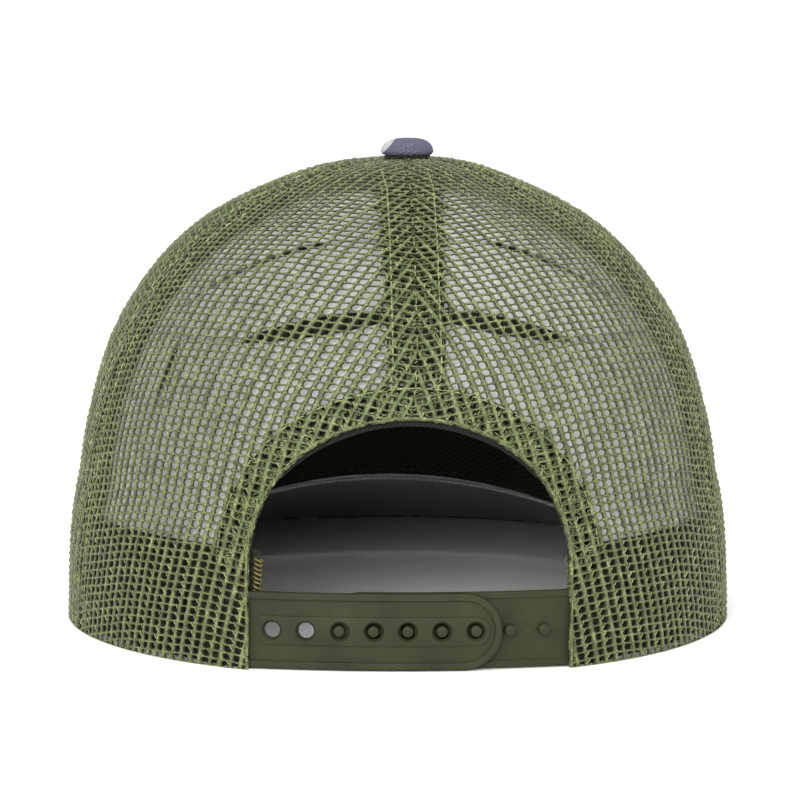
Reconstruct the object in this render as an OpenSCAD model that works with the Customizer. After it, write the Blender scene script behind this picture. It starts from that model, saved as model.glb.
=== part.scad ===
// Trucker mesh cap: six crown panels, a curved visor and a snap strap, resting on a table.
// Origin at the middle of the head opening, on the table. -Y is the front, +X the wearer's left.

/* [Crown] */
// Outside width of the crown at the rim
crown_w = 177.2; // [172:0.2:184]
// Outside length of the crown at the rim
crown_l = 192; // [186:0.5:198]
// Height of the crown above the table, without its button
crown_h = 122.6; // [112:0.2:130]
// Thickness of the crown's mesh and front fabric
fabric_t = 0.9; // [0.6:0.05:1]
// Height of the front rim above the table, where the visor lifts it
front_lift = 24; // [18:0.5:28]

/* [Adjuster arch] */
// Half the width of the arch
arch_half_w = 40.6; // [38:0.2:43]
// Height at which the arch's straight sides end
arch_side_h = 27; // [24:0.5:30]
// Height of the arch's round part
arch_round_h = 36; // [30:0.5:40]
// Width of the binding round the arch
binding_w = 8.5; // [6:0.5:10]

/* [Sweatband] */
// Height of the sweatband
band_h = 28.5; // [26:0.5:38]
// Thickness of the sweatband
band_t = 1.5; // [1:0.1:2]

/* [Snap strap] */
// Height of the strap
strap_h = 19.2; // [17:0.2:21]
// Thickness of the strap's field
strap_t = 1.4; // [1.2:0.1:1.6]
// Distance between neighbouring holes, and between neighbouring pegs
snap_pitch = 8.5; // [8:0.1:9]
// Number of holes, and of pegs
snap_count = 7; // [5:1:7]
// Radius of a hole
hole_r = 2.1; // [1.9:0.05:2.3]
// Radius of a peg
peg_r = 1.4; // [1.2:0.05:1.5]
// Length of a peg
peg_len = 2.3; // [1.8:0.1:2.6]

/* [Visor] */
// Width of the visor
visor_w = 182; // [170:1:188]
// Reach of the visor in front of the crown
visor_reach = 68; // [55:1:75]
// Radius of the visor's sideways curve
visor_bend_r = 169; // [168:1:260]
// Thickness of the visor's board
board_t = 1.8; // [1.2:0.1:2.2]

/* [Button] */
// Radius of the button
button_r = 7; // [6:0.25:8]

/* [Hidden] */

// Crown surface: half axes, and the roundness exponent, which grows from back to front
half_w = crown_w / 2;
half_l = crown_l / 2;
roundness_side = 2.4;
roundness_change = 0.2;

// Panel seams, as angles from the centre of the back
side_seam = 73;
front_seam = 118;
seam_gap = 0.06;

// Radius of the open top of each layer, as a share of the crown's half width
panel_top_k = 0.036;
tape_top_k = 0.2;

// Layers, each as [outer depth, inner depth] below the outside of the crown
panel_layer = [0, fabric_t];
tape_layer = [1.2, 1.6];
lining_layer = [1.2, 1.8];
shaper_layer = [2.9, 3.5];
front_tape_layer = [2.1, 2.5];
root_layer = [1.9, 1.9 + strap_t];
padding_layer = [2.8, 3.4];
band_layer = [3.8, 3.8 + band_t];

// The sweatband's ends, as angles past the arch's edge on the left and on the right
band_start = -0.6;
band_stop = 1.8;
padding_start = 14;
padding_inset = 4;

tape_w = 11;
rear_tape_w = 15;
tape_foot = 0.4;
panel_rows = 14;
panel_step = 5.2;
arch_steps = 12;

// Front lining
lining_foot = 2;
lining_edge = 0.8;
lining_top_h = 96.5;
lining_top_drop = 23.5;
lining_top_at = 56;
lining_rows = 8;

// Shaper: the light sheet that holds the crown up from inside, tucked into the sweatband
shaper_gap = 0.1;
shaper_tuck = 3.5;
shaper_arch_clear = 0.8;
shaper_top_k = 0.3;
shaper_low_rows = 3;
shaper_middle_rows = 1;
shaper_high_rows = 2;

// Its relief slit: a lens beside the centre of the back
slit_start = 3;
slit_end = 36;
slit_start_h = 90;
slit_drop = 9;
slit_w = 4;
slit_end_w = 0.4;

// Its upper slit: a thin arc over the shoulder
arc_start = 25;
arc_end = 62;
arc_h = 108;
arc_drop = 22;
arc_power = 3.2;
arc_w = 0.7;

// Strap: the straps' faces lie on circles about one centre
root_end = 0.2;
strap_joint_x = 39.9;
strap_face_y = 83.5;
strap_face_r = 174;
strap_gap = 0.5;
peg_face_r = strap_face_r - strap_t - strap_gap;
strap_cx = -(strap_face_r * strap_face_r - peg_face_r * peg_face_r) / (4 * strap_joint_x);
strap_cy = strap_face_y - sqrt(pow(strap_face_r, 2) - pow(strap_joint_x - strap_cx, 2));
strap_z = strap_h / 2 + tape_foot;
strap_tip_x = -13.5;
peg_tip_x = 12.3;
first_hole_x = 34.5;
first_peg_x = 17.5;
rim_w = 1.6;
rim_h = 0.4;
rim_start = 2.2;
pad_h = 7.3;
pad_rise = 0.2;
countersink_r = 2.55;
root_len = 9;

// Visor
cover_t = 0.6;
cover_gap = 0.3;
visor_slope = 0.06;
visor_dip = 16.8;
visor_dip_power = 1.4;
visor_flatten = 0.5;
visor_end = 66;
visor_clear = 0.4;
visor_cols = 30;
visor_rows = 7;
visor_roundness = 2.3;
visor_taper = 7;
visor_taper_power = 8;
cover_lap = 1.3;

eps = 0.01;
$fn = 48;

// ---- crown surface ----

function roundness(phi) = roundness_side - roundness_change * cos(phi);
function climb_at(phi, z) = asin(pow(max(z, 0) / crown_h, roundness(phi) / 2));
function ring_k(phi, t) = pow(cos(t), 2 / roundness(phi));
function climb_at_k(phi, k) = acos(pow(k, roundness(phi) / 2));
function crown_point(phi, t, depth) = [
    (half_w - depth) * ring_k(phi, t) * sin(phi),
    (half_l - depth) * ring_k(phi, t) * cos(phi),
    (crown_h - depth) * pow(sin(t), 2 / roundness(phi))
];

// The rim rises in front, where the visor holds it up
function from_front(phi) = 180 - abs(phi);
function lift(phi) = from_front(phi) < 97.8 ? front_lift * pow(cos(0.92 * from_front(phi)), 2) : 0;

// Angle at which the crown is x to the side of the middle, at height z
function phi_at_x(x, z) =
    let (rough = asin(x / half_w))
    asin(x / (half_w * ring_k(rough, climb_at(rough, z))));
arch_edge = phi_at_x(arch_half_w, arch_side_h);

// The arch's edge, w outside it: [angle, height] at its own angle a from the top
function arch_point(a, w) =
    let (z = arch_side_h + (arch_round_h + w) * cos(a))
    [phi_at_x((arch_half_w + w) * sin(a), z), z];

// ---- closed shells from a grid of [angle, climb] between two depths ----

function shell_faces(n, m, keep) =
    let (
        at = function (i, j, s) 2 * (i * m + j) + s,
        has = function (i, j) i >= 0 && j >= 0 && i < n - 1 && j < m - 1 && keep(i, j)
    )
    [for (i = [0:n - 2]) for (j = [0:m - 2]) if (has(i, j)) each concat(
        [[at(i, j, 0), at(i, j + 1, 0), at(i + 1, j + 1, 0), at(i + 1, j, 0)]],
        [[at(i, j, 1), at(i + 1, j, 1), at(i + 1, j + 1, 1), at(i, j + 1, 1)]],
        has(i - 1, j) ? [] : [[at(i, j, 0), at(i, j, 1), at(i, j + 1, 1), at(i, j + 1, 0)]],
        has(i + 1, j) ? [] : [[at(i + 1, j, 0), at(i + 1, j + 1, 0), at(i + 1, j + 1, 1), at(i + 1, j, 1)]],
        has(i, j - 1) ? [] : [[at(i, j, 0), at(i + 1, j, 0), at(i + 1, j, 1), at(i, j, 1)]],
        has(i, j + 1) ? [] : [[at(i, j + 1, 0), at(i, j + 1, 1), at(i + 1, j + 1, 1), at(i + 1, j + 1, 0)]]
    )];

// Every face is split into two triangles, because a quad on a curved surface isn't flat
function split_faces(faces) = [for (f = faces) each [[f[0], f[1], f[2]], [f[0], f[2], f[3]]]];

module grid_shell(outer, inner, keep = function (i, j) true) {
    n = len(outer);
    m = len(outer[0]);
    points = [for (i = [0:n - 1]) for (j = [0:m - 1]) each [outer[i][j], inner[i][j]]];
    polyhedron(points, split_faces(shell_faces(n, m, keep)), convexity = 10);
}

module crown_shell(grid, layer, keep = function (i, j) true) {
    grid_shell(
        [for (line = grid) [for (p = line) crown_point(p[0], p[1], layer[0])]],
        [for (line = grid) [for (p = line) crown_point(p[0], p[1], layer[1])]],
        keep
    );
}

// Evenly spaced angles from a to b
function angles(a, b, step = panel_step) =
    let (n = ceil((b - a) / step))
    [for (i = [0:n]) a + (b - a) * i / n];

// A line of climbs from one to another
function climbs(phi, t0, t1, n) = [for (j = [0:n]) [phi, t0 + (t1 - t0) * j / n]];

// ---- crown panels ----

function panel_grid(a, b) = [
    for (phi = angles(a, b))
    climbs(phi, climb_at(phi, lift(phi)), climb_at_k(phi, panel_top_k), panel_rows)
];

// The rear panel's grid follows the arch: its lower rows end at the arch's height
function arch_height(a) = arch_point(a, 0)[1];
function rear_columns() = concat(
    [for (i = [0:arch_steps])
        let (a = 90 * i / arch_steps)
        [i == 0 ? seam_gap : arch_point(a, 0)[0], arch_height(a)]],
    [for (phi = angles(arch_edge + panel_step, side_seam - seam_gap)) [phi, arch_side_h]]
);
arch_rows = 4;
rear_rows = 12;

module rear_mesh() {
    grid = [
        for (c = rear_columns())
        let (split = climb_at(c[0], c[1]))
        concat(
            [for (j = [0:arch_rows - 1]) [c[0], split * j / arch_rows]],
            climbs(c[0], split, climb_at_k(c[0], panel_top_k), rear_rows)
        )
    ];
    crown_shell(grid, panel_layer, function (i, j) i >= arch_steps || j >= arch_rows);
}

module side_mesh() {
    crown_shell(panel_grid(side_seam + seam_gap, front_seam - seam_gap), panel_layer);
}

module front_panel() {
    crown_shell(panel_grid(front_seam + seam_gap, 180 - seam_gap), panel_layer);
}

// ---- front lining ----

function lining_top(phi) = lining_top_h - lining_top_drop * pow(from_front(phi) / lining_top_at, 3);

module front_lining() {
    grid = [
        for (phi = angles(front_seam + lining_edge, 180 - lining_edge / 2))
        climbs(phi, climb_at(phi, lift(phi) + lining_foot), climb_at(phi, lining_top(phi)), lining_rows)
    ];
    crown_shell(grid, lining_layer);
}

// ---- shaper ----

// Share of the way from a to b, held between 0 and 1
function share(x, a, b) = min(max((x - a) / (b - a), 0), 1);
function slit_height(phi) = slit_start_h - slit_drop * pow(share(phi, 0, slit_end), 1.5);
function slit_half_w(phi) = (slit_end_w + slit_w * sin(180 * share(phi, slit_start, slit_end))) / 2;
function arc_height(phi) = arc_h - arc_drop * pow(share(phi, 0, arc_end), arc_power);

module shaper() {
    arch_w = binding_w + shaper_arch_clear;
    arch_end = phi_at_x(arch_half_w + arch_w, arch_side_h);
    slit_columns = angles(slit_start, slit_end, 5.5);
    low_edge = function (phi) phi < arch_end ?
        let (x = half_w * sin(phi) * ring_k(phi, climb_at(phi, arch_side_h + arch_round_h / 2)))
        arch_side_h + (arch_round_h + arch_w) * sqrt(1 - pow(min(x / (arch_half_w + arch_w), 1), 2))
        : lift(phi) + band_h - shaper_tuck;
    columns = concat(
        [shaper_gap], slit_columns,
        [for (phi = angles(slit_end, 180 - shaper_gap, 5.5)) if (phi > slit_end + eps) phi]
    );
    grid = [
        for (phi = columns)
        let (half = slit_half_w(phi), arc = arc_height(phi))
        concat(
            climbs(phi, climb_at(phi, low_edge(phi)), climb_at(phi, slit_height(phi) - half), shaper_low_rows),
            climbs(phi, climb_at(phi, slit_height(phi) + half), climb_at(phi, arc - arc_w / 2), shaper_middle_rows),
            climbs(phi, climb_at(phi, arc + arc_w / 2), climb_at_k(phi, shaper_top_k), shaper_high_rows)
        )
    ];
    arc_row = shaper_low_rows + shaper_middle_rows + 1;
    in_slit = function (i) columns[i] > slit_start - eps && columns[i + 1] < slit_end + eps;
    in_arc = function (i) columns[i] > arc_start && columns[i + 1] < arc_end;
    crown_shell(grid, shaper_layer, function (i, j)
        !(j == shaper_low_rows && in_slit(i)) && !(j == arc_row && in_arc(i)));
}

// ---- tapes ----

// A tape of even width along the seam at an angle, from a height up to the button
module seam_tape(phi, width, from_z, layer) {
    start = climb_at(phi, from_z);
    stop = climb_at_k(phi, tape_top_k);
    rows = 16;
    grid = [
        for (side = [-1, 0, 1])
        [for (j = [0:rows])
            let (
                t = start + (stop - start) * j / rows,
                turn = asin(side * width / 2 / (half_w * ring_k(phi, t)))
            )
            [phi + turn, t]]
    ];
    crown_shell(grid, layer);
}

// Height at which the seam tapes start, just above the sweatband
function tape_start(phi) = lift(phi) + band_h + 2;

module arch_tape() {
    leg_heights = [tape_foot, arch_side_h / 2];
    stations = concat(
        [for (z = leg_heights) [-90, z]],
        [for (a = angles(-90, 90, 9)) [a, undef]],
        [for (i = [1, 0]) [90, leg_heights[i]]]
    );
    grid = [
        for (s = stations)
        [for (w = [0, binding_w])
            let (p = is_undef(s[1]) ? arch_point(s[0], w)
                : [phi_at_x(sign(s[0]) * (arch_half_w + w), s[1]), s[1]])
            [p[0], climb_at(p[0], p[1])]]
    ];
    mirror([1, 0, 0]) crown_shell(grid, tape_layer);
}

// ---- sweatband ----

// A strip round the inside of the crown, from one height above the rim to another
band_step = 5;
band_rows = 4;
function strip_grid(a, b, low, high) = [
    for (phi = angles(a, b, band_step))
    let (p = phi > 180 ? 360 - phi : phi)
    climbs(phi, climb_at(p, lift(p) + low), climb_at(p, lift(p) + high), band_rows)
];

// ---- snap strap ----

function strap_angle(x, r) = asin((x - strap_cx) / r);

// Moves children from the strap's field at x = 0 to where they stand on the circle of radius r
module on_strap(x, r) {
    translate([strap_cx, strap_cy, strap_z])
        rotate([0, 0, -strap_angle(x, r)])
            translate([0, r, 0])
                rotate([-90, 0, 0])
                    children();
}

// Ring of rectangular section between two radii, about the straps' centre
module strap_ring(r0, r1) {
    spread = 20;
    translate([strap_cx, strap_cy, 0])
        rotate([0, 0, 90 - spread])
            rotate_extrude(angle = 2 * spread, $fn = 360)
                translate([r0, 0])
                    square([r1 - r0, strap_h + 5]);
}

// Outline with one round end, seen from behind: its square end at x0, its round end's centre at x1
module strap_outline(x0, x1, height) {
    translate([min(x0, x1), -height / 2])
        square([abs(x1 - x0), height]);
    translate([x1, 0])
        circle(d = height);
}

// Cuts the outline given as its child through the strap
module through_strap() {
    translate([0, 120, strap_z])
        rotate([90, 0, 0])
            linear_extrude(80)
                children();
}

module strap_layer(r0, r1) {
    intersection() {
        strap_ring(r0, r1);
        through_strap() children();
    }
}

// A strap's field with its raised rim; face_r is the radius of its outer face
module strap_blank(face_r, x0, x1) {
    into = x1 > x0 ? 1 : -1;
    strap_layer(face_r - strap_t, face_r) strap_outline(x0, x1, strap_h);
    strap_layer(face_r - eps * 10, face_r + rim_h) difference() {
        strap_outline(x0 + into * rim_start, x1, strap_h);
        strap_outline(x0 + into * (rim_start - 5), x1, strap_h - 2 * rim_w);
    }
}

module hole_strap_body() {
    difference() {
        union() {
            strap_blank(strap_face_r, strap_joint_x, strap_tip_x);
            strap_layer(strap_face_r - eps * 10, strap_face_r + pad_rise)
                strap_outline(strap_joint_x - rim_start - 0.5, first_hole_x - (snap_count - 1) * snap_pitch, pad_h);
        }
        for (i = [0:snap_count - 1]) on_strap(first_hole_x - i * snap_pitch, strap_face_r) {
            translate([0, 0, -strap_t - 1])
                cylinder(r = hole_r, h = strap_t + 3);
            translate([0, 0, -0.5])
                cylinder(r1 = hole_r, r2 = countersink_r, h = 0.5 + pad_rise + eps);
        }
    }
}

module peg_strap_body() {
    strap_blank(peg_face_r, -strap_joint_x, peg_tip_x);
    for (i = [0:snap_count - 1]) on_strap(first_peg_x - i * snap_pitch, peg_face_r)
        translate([0, 0, -strap_t / 2])
            cylinder(r = peg_r, h = strap_t / 2 + peg_len);
}

// The sewn root of a strap, between the mesh and the sweatband
module strap_root() {
    top_z = tape_foot + strap_h;
    inner_w = (half_w - root_layer[1]) * ring_k(arch_edge, climb_at(arch_edge, top_z));
    start = asin((strap_joint_x + root_end) / inner_w);
    grid = [
        for (phi = angles(start, start + root_len, 3))
        climbs(phi, climb_at(phi, tape_foot), climb_at(phi, top_z), 3)
    ];
    crown_shell(grid, root_layer);
}

// ---- visor ----

// Outline points at w, which runs from -1 at one end of the visor to 1 at the other
visor_back_y = -half_l * cos(visor_end) + 2;
function visor_inner(w) = [
    (half_w + visor_clear) * sin(w * visor_end),
    -(half_l + visor_clear) * cos(w * visor_end)
];
function visor_outer(w, inset) =
    let (n = 2 / visor_roundness)
    [
        sign(w) * ((visor_w / 2 - inset) * pow(abs(sin(w * 90)), n) - visor_taper * pow(abs(w), visor_taper_power)),
        visor_back_y - (half_l + visor_reach + visor_back_y - inset) * pow(cos(w * 90), n)
    ];
function visor_height(x, y) =
    let (ahead = min(max((-y - half_l) / visor_reach, 0), 1))
    front_lift - board_t / 2 - visor_slope * (-y - half_l) - visor_dip * pow(ahead, visor_dip_power)
        - x * x / (2 * visor_bend_r) * (1 - visor_flatten * ahead);
function visor_point(w, r, inset, up) =
    let (
        a = visor_inner(w),
        b = visor_outer(w, inset),
        p = a + (b - a) * r,
        error = front_lift * pow(cos(0.92 * w * visor_end), 2) - board_t / 2 - visor_height(a[0], a[1])
    )
    [p[0], p[1], visor_height(p[0], p[1]) + error * (1 - r) * (1 - r) + up];

module visor_shell(r0, r1, inset, low, high) {
    function side(up) = [
        for (i = [0:visor_cols])
        [for (j = [0:visor_rows])
            visor_point(-1 + 2 * i / visor_cols, r1 + (r0 - r1) * j / visor_rows, inset, up)]
    ];
    grid_shell(side(high), side(low));
}

cover_low = board_t / 2 + cover_gap;

// ---- nodes ----

module mirrored(side) {
    if (side > 0) children();
    else mirror([1, 0, 0]) children();
}

module front_panel_left() { color("lightsteelblue") front_panel(); }
module front_panel_right() { color("lightsteelblue") mirrored(-1) front_panel(); }
module side_mesh_left() { color("darkolivegreen") side_mesh(); }
module side_mesh_right() { color("darkolivegreen") mirrored(-1) side_mesh(); }
module rear_mesh_left() { color("olivedrab") rear_mesh(); }
module rear_mesh_right() { color("olivedrab") mirrored(-1) rear_mesh(); }
module front_lining_left() { color("gainsboro") front_lining(); }
module front_lining_right() { color("gainsboro") mirrored(-1) front_lining(); }
module shaper_left() { color("whitesmoke") shaper(); }
module shaper_right() { color("whitesmoke") mirrored(-1) shaper(); }
module front_seam_tape() {
    color("dimgray") seam_tape(180, tape_w, tape_start(180), front_tape_layer);
}
module front_side_tape() { seam_tape(front_seam, tape_w, tape_start(front_seam), front_tape_layer); }
module front_side_tape_left() { color("dimgray") front_side_tape(); }
module front_side_tape_right() { color("dimgray") mirrored(-1) front_side_tape(); }
module side_seam_tape() { seam_tape(side_seam, tape_w, tape_start(side_seam), tape_layer); }
module side_seam_tape_left() { color("dimgray") side_seam_tape(); }
module side_seam_tape_right() { color("dimgray") mirrored(-1) side_seam_tape(); }
module rear_seam_tape() {
    color("dimgray") seam_tape(0, rear_tape_w, arch_side_h + arch_round_h + binding_w + 1, tape_layer);
}
module sweatband() {
    color("darkslategray") crown_shell(strip_grid(arch_edge + band_start, 360 - arch_edge - band_stop, 0, band_h), band_layer);
}
module sweatband_padding() {
    color("gray") crown_shell(strip_grid(
        arch_edge + padding_start, 360 - arch_edge - padding_start, padding_inset, band_h - padding_inset), padding_layer);
}
module button_cap() {
    base_h = 1.2;
    dome_h = 3.2;
    ball_r = (pow(button_r, 2) + pow(dome_h, 2)) / (2 * dome_h);
    color("slategray") translate([0, 0, crown_h + 0.3]) {
        cylinder(r = button_r, h = base_h);
        intersection() {
            translate([0, 0, base_h + dome_h - ball_r]) sphere(r = ball_r);
            cylinder(r = button_r, h = base_h + dome_h + 1);
        }
    }
}
module button_rivet() {
    shank_r = 1.5;
    washer_r = 6.5;
    color("silver") {
        translate([0, 0, crown_h - 1.2]) cylinder(r = shank_r, h = 1.4);
        translate([0, 0, crown_h - 2.2]) cylinder(r = washer_r, h = 1);
    }
}
module visor_board() {
    color("white") visor_shell(0.02, 1, cover_lap, -board_t / 2, board_t / 2);
}
module visor_top_cover() {
    color("lightsteelblue") visor_shell(0, 1, 0, cover_low, cover_low + cover_t);
}
module visor_under_cover() {
    color("olivedrab") visor_shell(0, 1, 0, -cover_low - cover_t, -cover_low);
}
module hole_strap_root() { color("darkolivegreen") strap_root(); }
module peg_strap_root() { color("darkolivegreen") mirrored(-1) strap_root(); }
module hole_strap() { color("darkolivegreen") hole_strap_body(); }
module peg_strap() { color("darkolivegreen") peg_strap_body(); }

front_panel_left();
front_panel_right();
side_mesh_left();
side_mesh_right();
rear_mesh_left();
rear_mesh_right();
front_lining_left();
front_lining_right();
shaper_left();
shaper_right();
front_seam_tape();
front_side_tape_left();
front_side_tape_right();
side_seam_tape_left();
side_seam_tape_right();
rear_seam_tape();
color("dimgray") arch_tape();
sweatband();
sweatband_padding();
button_cap();
button_rivet();
visor_board();
visor_top_cover();
visor_under_cover();
hole_strap_root();
peg_strap_root();
hole_strap();
peg_strap();
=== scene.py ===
"""Looks of a trucker mesh cap: knitted mesh, printed front, curved visor and snap strap.

Lengths below are in millimetres and become metres when a mesh is made. -Y is the front.
Angles round the crown, phi, run from the centre of the back (0) through the wearer's left (90).
"""
import math
import bmesh
import bpy
import numpy as np
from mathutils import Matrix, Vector


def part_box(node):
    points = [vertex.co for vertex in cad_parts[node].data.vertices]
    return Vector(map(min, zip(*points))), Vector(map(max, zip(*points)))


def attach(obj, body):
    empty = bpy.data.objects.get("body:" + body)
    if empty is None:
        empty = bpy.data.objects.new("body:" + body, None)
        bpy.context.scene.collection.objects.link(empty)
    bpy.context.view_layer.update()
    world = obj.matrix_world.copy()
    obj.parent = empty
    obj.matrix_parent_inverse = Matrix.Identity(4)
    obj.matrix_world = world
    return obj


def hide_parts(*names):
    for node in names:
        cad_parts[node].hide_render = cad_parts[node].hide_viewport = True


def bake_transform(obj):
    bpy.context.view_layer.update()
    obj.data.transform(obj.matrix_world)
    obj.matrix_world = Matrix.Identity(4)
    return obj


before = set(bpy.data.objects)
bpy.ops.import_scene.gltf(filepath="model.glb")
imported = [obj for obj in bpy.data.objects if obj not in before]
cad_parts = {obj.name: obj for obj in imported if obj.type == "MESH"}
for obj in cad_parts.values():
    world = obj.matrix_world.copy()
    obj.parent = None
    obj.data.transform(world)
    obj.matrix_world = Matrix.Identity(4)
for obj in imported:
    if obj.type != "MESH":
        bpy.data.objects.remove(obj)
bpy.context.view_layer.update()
MM = 0.001
BODY = "crown"


def mm_box(node):
    low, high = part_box(node)
    return np.array(low) / MM, np.array(high) / MM


# ---- crown surface

SIDE_SEAM = math.radians(73)
FRONT_SEAM = math.radians(118)
LIFT_HALF = math.radians(97.8)
LIFT_RATE = 0.92
RIM_LIFT = 24.0
CROWN_H = mm_box("rear_mesh_left")[1][2]
HALF_W = mm_box("side_mesh_left")[1][0] + 0.05
FRONT_K = (1 - (RIM_LIFT / CROWN_H) ** 2.6) ** (1 / 2.6)
HALF_L = -mm_box("front_panel_left")[0][1] / FRONT_K

ARCH_W = 40.6
ARCH_SIDE = 27.0
ARCH_ROUND = 36.0
BINDING = 8.5
BAND_TOP = 30.0


def roundness(phi):
    return 2.4 - 0.2 * np.cos(phi)


def climb_at(phi, z):
    return np.arcsin(np.clip(z / CROWN_H, 0, 1) ** (roundness(phi) / 2))


def climb_at_k(phi, k):
    return np.arccos(np.clip(k, 0, 1) ** (roundness(phi) / 2))


def ring_k(phi, t):
    return np.maximum(np.cos(t), 1e-6) ** (2 / roundness(phi))


def height_at(phi, t):
    return CROWN_H * np.maximum(np.sin(t), 0) ** (2 / roundness(phi))


def lift(phi):
    away = np.abs(np.pi - np.mod(phi, 2 * np.pi))
    return np.where(away < LIFT_HALF, RIM_LIFT * np.cos(LIFT_RATE * away) ** 2, 0.0)


def sway(phi, t):
    """Gentle unevenness of the soft crown, none at the rim or the button."""
    z = height_at(phi, t)
    fade = np.clip((z - 30) / 40, 0, 1) * np.clip(ring_k(phi, t) * 3, 0, 1)
    wave = 0.35 * np.sin(3 * phi + 0.6) + 0.3 * np.sin(5 * phi + z * 0.05) + 0.25 * np.cos(z * 0.11 + 2 * phi)
    return fade * wave


def crown_normal(x, y, z):
    rho = np.sqrt((x / HALF_W) ** 2 + (y / HALF_L) ** 2)
    n = roundness(np.arctan2(x / HALF_W, y / HALF_L))
    side = np.maximum(rho, 1e-6) ** (n - 2)
    v = np.stack([x / HALF_W ** 2 * side, y / HALF_L ** 2 * side,
                  np.maximum(z, 0) ** (n - 1) / CROWN_H ** n], -1)
    return v / np.maximum(np.linalg.norm(v, axis=-1, keepdims=True), 1e-12)


def crown_point(phi, t, depth):
    """Points below the outside of the crown by depth, which may be an array."""
    phi, t, depth = np.broadcast_arrays(phi, t, depth)
    k = ring_k(phi, t)
    base = np.stack([HALF_W * k * np.sin(phi), HALF_L * k * np.cos(phi), height_at(phi, t)], -1)
    out = crown_normal(base[..., 0], base[..., 1], base[..., 2])
    return base + out * (sway(phi, t) - depth)[..., None]


def aside(phi, t):
    """Distance from the crown's middle plane."""
    return HALF_W * ring_k(phi, t) * np.sin(phi)


def mirror_x(verts, side):
    return verts * [side, 1, 1]


def phi_at_x(x, z):
    rough = np.arcsin(np.clip(x / HALF_W, -1, 1))
    return np.arcsin(np.clip(x / (HALF_W * ring_k(rough, climb_at(rough, z))), -1, 1))


def arch_path(w, n):
    """The arch from its right foot over the top to its left foot, w outside its edge: x and z."""
    leg = int(n * 0.18)
    a = np.concatenate([np.full(leg, -np.pi / 2), np.linspace(-np.pi / 2, np.pi / 2, n - 2 * leg),
                        np.full(leg, np.pi / 2)])
    up = np.linspace(0, ARCH_SIDE, leg, endpoint=False)
    foot = np.concatenate([up, np.full(n - 2 * leg, ARCH_SIDE), up[::-1]])
    return (ARCH_W + w) * np.sin(a), foot + (ARCH_ROUND + w) * np.cos(a)


def arch_round(w, angle):
    """The arch's round part, w outside its edge, at angles from its top: x and z."""
    return (ARCH_W + w) * np.sin(angle), ARCH_SIDE + (ARCH_ROUND + w) * np.cos(angle)


# Length round the crown's ring of k = 1, from the centre of the back
RING_PHI = np.linspace(-np.pi, np.pi, 1441)
RING_STEP = np.sqrt((HALF_W * np.cos(RING_PHI)) ** 2 + (HALF_L * np.sin(RING_PHI)) ** 2)
RING_LEN = np.concatenate([[0], np.cumsum((RING_STEP[1:] + RING_STEP[:-1]) / 2 * np.diff(RING_PHI))])
RING_LEN -= np.interp(0, RING_PHI, RING_LEN)


def meridian(phi):
    """Arc length up the crown at phi, as (climbs, lengths)."""
    t = np.linspace(0, np.pi / 2, 800)
    k = ring_k(phi, t)
    r = k * math.hypot(HALF_W * math.sin(phi), HALF_L * math.cos(phi))
    steps = np.hypot(np.diff(r), np.diff(height_at(phi, t)))
    return t, np.concatenate([[0], np.cumsum(steps)])


SOFT_FROM = 26.0
BUTTON_LEAN = 2.9
SEAM_LEAN = 2.3


def settle(verts):
    """The soft crown's own shape: flat shoulders, full sides and a button that leans towards -X."""
    x, y, z = verts[..., 0], verts[..., 1], verts[..., 2]
    r = np.hypot(x, y * HALF_W / HALF_L)
    up = np.clip((z - SOFT_FROM) / 14, 0, 1)
    fuller = 1.1 * np.exp(-((z - 72) / 16) ** 2) - 0.7 * np.exp(-((z - 38) / 9) ** 2)
    grow = 1 + np.where(z > SOFT_FROM, fuller * up, 0) / np.maximum(r, 30)
    high = np.clip((z - 75) / 20, 0, 1)
    drop = 1.9 * np.exp(-((r - 38) / 18) ** 2) * high
    lean_top = BUTTON_LEAN * np.exp(-(r / 20) ** 2) * high
    behind = np.clip((z - 60) / 16, 0, 1) * np.clip((y - 12) / 20, 0, 1)
    lean_back = SEAM_LEAN * np.exp(-(x / 26) ** 2) * behind
    lean = np.maximum(lean_top, lean_back)
    in_crown = (y > -HALF_L - 1) * 1.0
    return np.stack([x * (1 + (grow - 1) * in_crown) - lean, y * (1 + (grow - 1) * in_crown), z - drop], -1)


# ---- mesh helpers

def make(name, verts, faces, material, body=BODY, slot=None, shade=None, shades=None):
    """A mesh piece from millimetre vertices and an array or list of faces.

    shade is a second material, for the faces whose number in shades is 1; the nets use it for painted shade.
    """
    mesh = bpy.data.meshes.new(name)
    verts = settle(np.asarray(verts, float).reshape(-1, 3)) * MM
    if isinstance(faces, np.ndarray):
        count, sides = faces.shape
        mesh.vertices.add(len(verts))
        mesh.vertices.foreach_set("co", verts.astype(np.float32).ravel())
        mesh.loops.add(count * sides)
        mesh.loops.foreach_set("vertex_index", faces.astype(np.int32).ravel())
        mesh.polygons.add(count)
        mesh.polygons.foreach_set("loop_start", np.arange(0, count * sides, sides, dtype=np.int32))
        mesh.update(calc_edges=True)
        mesh.validate()
    else:
        mesh.from_pydata([tuple(v) for v in verts], [], faces)
    mesh.materials.append(material)
    if shade:
        mesh.materials.append(shade)
        mesh.polygons.foreach_set("material_index", np.asarray(shades, np.int32))
    mesh.shade_smooth()
    obj = bpy.data.objects.new(name, mesh)
    bpy.context.scene.collection.objects.link(obj)
    if body:
        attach(obj, body)
    return obj


def grid_faces(n, m, wrap=False, start=0):
    i, j = np.meshgrid(np.arange(n if wrap else n - 1), np.arange(m - 1), indexing="ij")
    i, j = i.ravel(), j.ravel()
    k = (i + 1) % n
    return start + np.stack([i * m + j, k * m + j, k * m + j + 1, i * m + j + 1], -1)


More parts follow.
